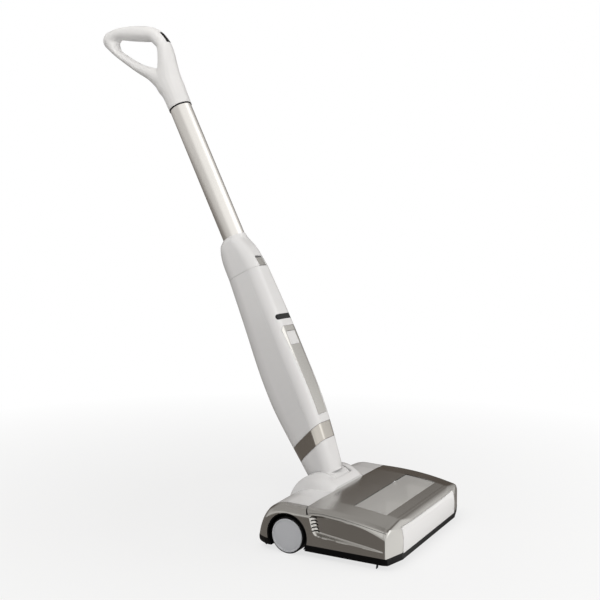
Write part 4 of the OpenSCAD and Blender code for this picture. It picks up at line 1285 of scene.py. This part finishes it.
def room_light(tree, stage):
    """Even light; white to the camera; in metal the room with its walls and screens."""
    nodes = Surroundings(tree)
    way = nodes.add("ShaderNodeTexCoord").outputs["Generated"]

    def background(colour, strength=1.0):
        return nodes.add("ShaderNodeBackground", {"Color": colour,
                                                  "Strength": strength}).outputs[0]

    even = background((1.0, 0.985, 0.965, 1), stage.sky)
    seen = background(nodes.room(way, stage, -0.38, 0.75, walls=True))
    surface = nodes.mix(nodes.clear, nodes.mix(nodes.path["Is Glossy Ray"], even, seen),
                        background((1, 1, 1, 1)))
    nodes.add("ShaderNodeOutputWorld", {"Surface": surface})


def lamp(name, power, size, at, towards, colour):
    """A rectangular soft light that isn't itself seen, by the camera or in metal."""
    data = bpy.data.lights.new(name, "AREA")
    data.energy = power
    data.shape = "RECTANGLE"
    data.size, data.size_y = size
    data.color = colour
    light = bpy.data.objects.new(name, data)
    bpy.context.scene.collection.objects.link(light)
    light.location = at
    light.rotation_euler = (Vector(towards) - Vector(at)).to_track_quat("-Z", "Y").to_euler()
    light.visible_camera = False
    light.visible_glossy = False


def build_stage():
    """Sets up the floor, the room's light, the lamps and the camera."""
    stage = bpy.context.scene.sweeper_stage
    scene = bpy.context.scene

    bm = bmesh.new()
    bmesh.ops.create_circle(bm, cap_ends=True, segments=96, radius=6.0)
    mesh = bpy.data.meshes.new("studio_floor")
    bm.to_mesh(mesh)
    bm.free()
    floor = bpy.data.objects.new("studio_floor", mesh)
    scene.collection.objects.link(floor)
    mesh.materials.append(floor_material(stage))

    scene.world = bpy.data.worlds.new("studio")
    scene.world.use_nodes = True
    room_light(scene.world.node_tree, stage)

    lamp("key_panel", stage.key, (1.6, 1.0), (0.30, -1.5, 0.46), (0, 0, 0.14), (1, 0.985, 0.96))
    lamp("top_panel", stage.top, (1.6, 1.6), (0.1, -0.1, 2.3), (0, 0, 0.2), (1, 0.99, 0.97))
    lamp("high_panel", stage.high, (1.1, 1.1), (-0.95, 0.05, 1.75), (0, 0.4, 0.9),
         (1, 0.985, 0.96))
    lamp("side_panel", stage.rim, (1.2, 1.2), (-1.7, 1.45, 0.85), (0, 0.3, 0.75),
         (1, 0.97, 0.93))

    camera = bpy.data.cameras.new("camera")
    camera.lens = 53.94
    camera.sensor_width = 36.0
    camera.clip_start = 0.01
    camera.clip_end = 50
    viewer = bpy.data.objects.new("camera", camera)
    scene.collection.objects.link(viewer)
    pitch = math.atan(CAMERA_DOWN)
    turn = math.atan(CAMERA_ASIDE * math.cos(pitch))
    look = Vector((math.cos(turn) * math.cos(pitch), math.sin(turn) * math.cos(pitch),
                   -math.sin(pitch)))
    viewer.location = CAMERA_AT
    viewer.rotation_euler = look.to_track_quat("-Z", "Y").to_euler()
    scene.camera = viewer
    scene.view_settings.view_transform = "Standard"


# ---------------------------------------------------------------- operators

class SWEEPER_OT_stage(bpy.types.Operator):
    """Set up the floor, the lamps and the camera"""
    bl_idname = "sweeper.stage"
    bl_label = "Stage"

    def execute(self, context):
        build_stage()
        return {"FINISHED"}


class SWEEPER_OT_frame_finishes(bpy.types.Operator):
    """Give every node of the frame its finish"""
    bl_idname = "sweeper.frame_finishes"
    bl_label = "Frame finishes"

    def execute(self, context):
        slots = {part["node"]: part["material_slot"] for part in frame["record"]["subparts"]}
        for node, piece in frame["nodes"].items():
            material = finish_for(slots[node])
            if not piece.material_slots:
                piece.data.materials.append(material)
            for holder in piece.material_slots:
                holder.material = material
        return {"FINISHED"}


class SWEEPER_OT_covers(bpy.types.Operator):
    """Build the lid, the arch covers, the window and the drawer's front"""
    bl_idname = "sweeper.covers"
    bl_label = "Head covers"

    def execute(self, context):
        skin = head_skin()
        build_lid(skin)
        for side, name in SIDES:
            build_side_cover(skin, side, name)
        build_window(skin)
        build_drawer_panel(skin)
        skin.free()
        return {"FINISHED"}


class SWEEPER_OT_hood(bpy.types.Operator):
    """Build the white deck with the hood round the neck"""
    bl_idname = "sweeper.hood"
    bl_label = "Pivot hood"

    def execute(self, context):
        build_housing()
        build_cheeks()
        return {"FINISHED"}


class SWEEPER_OT_wheels(bpy.types.Operator):
    """Build both tyres and wheel caps"""
    bl_idname = "sweeper.wheels"
    bl_label = "Wheels"

    def execute(self, context):
        build_wheels()
        return {"FINISHED"}


class SWEEPER_OT_neck(bpy.types.Operator):
    """Build the neck and the silver band above it"""
    bl_idname = "sweeper.neck"
    bl_label = "Neck and band"

    def execute(self, context):
        build_neck()
        build_band()
        return {"FINISHED"}


class SWEEPER_OT_body(bpy.types.Operator):
    """Build the body's shells with the inlay, the display and the power key"""
    bl_idname = "sweeper.body"
    bl_label = "Body"

    def execute(self, context):
        build_body()
        return {"FINISHED"}


class SWEEPER_OT_collar(bpy.types.Operator):
    """Build the collar and its latch"""
    bl_idname = "sweeper.collar"
    bl_label = "Collar"

    def execute(self, context):
        build_collar()
        return {"FINISHED"}


class SWEEPER_OT_pole(bpy.types.Operator):
    """Build the pole and its ring"""
    bl_idname = "sweeper.pole"
    bl_label = "Pole"

    def execute(self, context):
        build_pole()
        return {"FINISHED"}


class SWEEPER_OT_handle(bpy.types.Operator):
    """Build the two halves of the loop handle"""
    bl_idname = "sweeper.handle"
    bl_label = "Handle"

    def execute(self, context):
        build_handle()
        return {"FINISHED"}


class SWEEPER_PT_panel(bpy.types.Panel):
    """Lists the sweeper's operators in the sidebar"""
    bl_label = "Carpet sweeper"
    bl_idname = "SWEEPER_PT_panel"
    bl_space_type = "VIEW_3D"
    bl_region_type = "UI"
    bl_category = "Sweeper"

    def draw(self, context):
        for operator in OPERATORS:
            self.layout.operator(operator.bl_idname)
        for group in GROUPS:
            box = self.layout.box()
            values = getattr(context.scene, group)
            for key in values.__annotations__:
                box.prop(values, key)


OPERATORS = (SWEEPER_OT_stage, SWEEPER_OT_frame_finishes, SWEEPER_OT_covers, SWEEPER_OT_hood,
             SWEEPER_OT_wheels, SWEEPER_OT_neck, SWEEPER_OT_body, SWEEPER_OT_collar,
             SWEEPER_OT_pole, SWEEPER_OT_handle)
GROUPS = {"sweeper_head": SweeperHeadSettings, "sweeper_stick": SweeperStickSettings,
          "sweeper_finish": SweeperFinishSettings, "sweeper_stage": SweeperStageSettings}


def register():
    for name, group in GROUPS.items():
        bpy.utils.register_class(group)
        setattr(bpy.types.Scene, name, PointerProperty(type=group))
    for item in (*OPERATORS, SWEEPER_PT_panel):
        bpy.utils.register_class(item)


def unregister():
    for item in (SWEEPER_PT_panel, *reversed(OPERATORS)):
        bpy.utils.unregister_class(item)
    for name, group in GROUPS.items():
        delattr(bpy.types.Scene, name)
        bpy.utils.unregister_class(group)


def main():
    register()
    for operator in OPERATORS:
        area, name = operator.bl_idname.split(".")
        getattr(getattr(bpy.ops, area), name)()


if __name__ == "__main__":
    main()
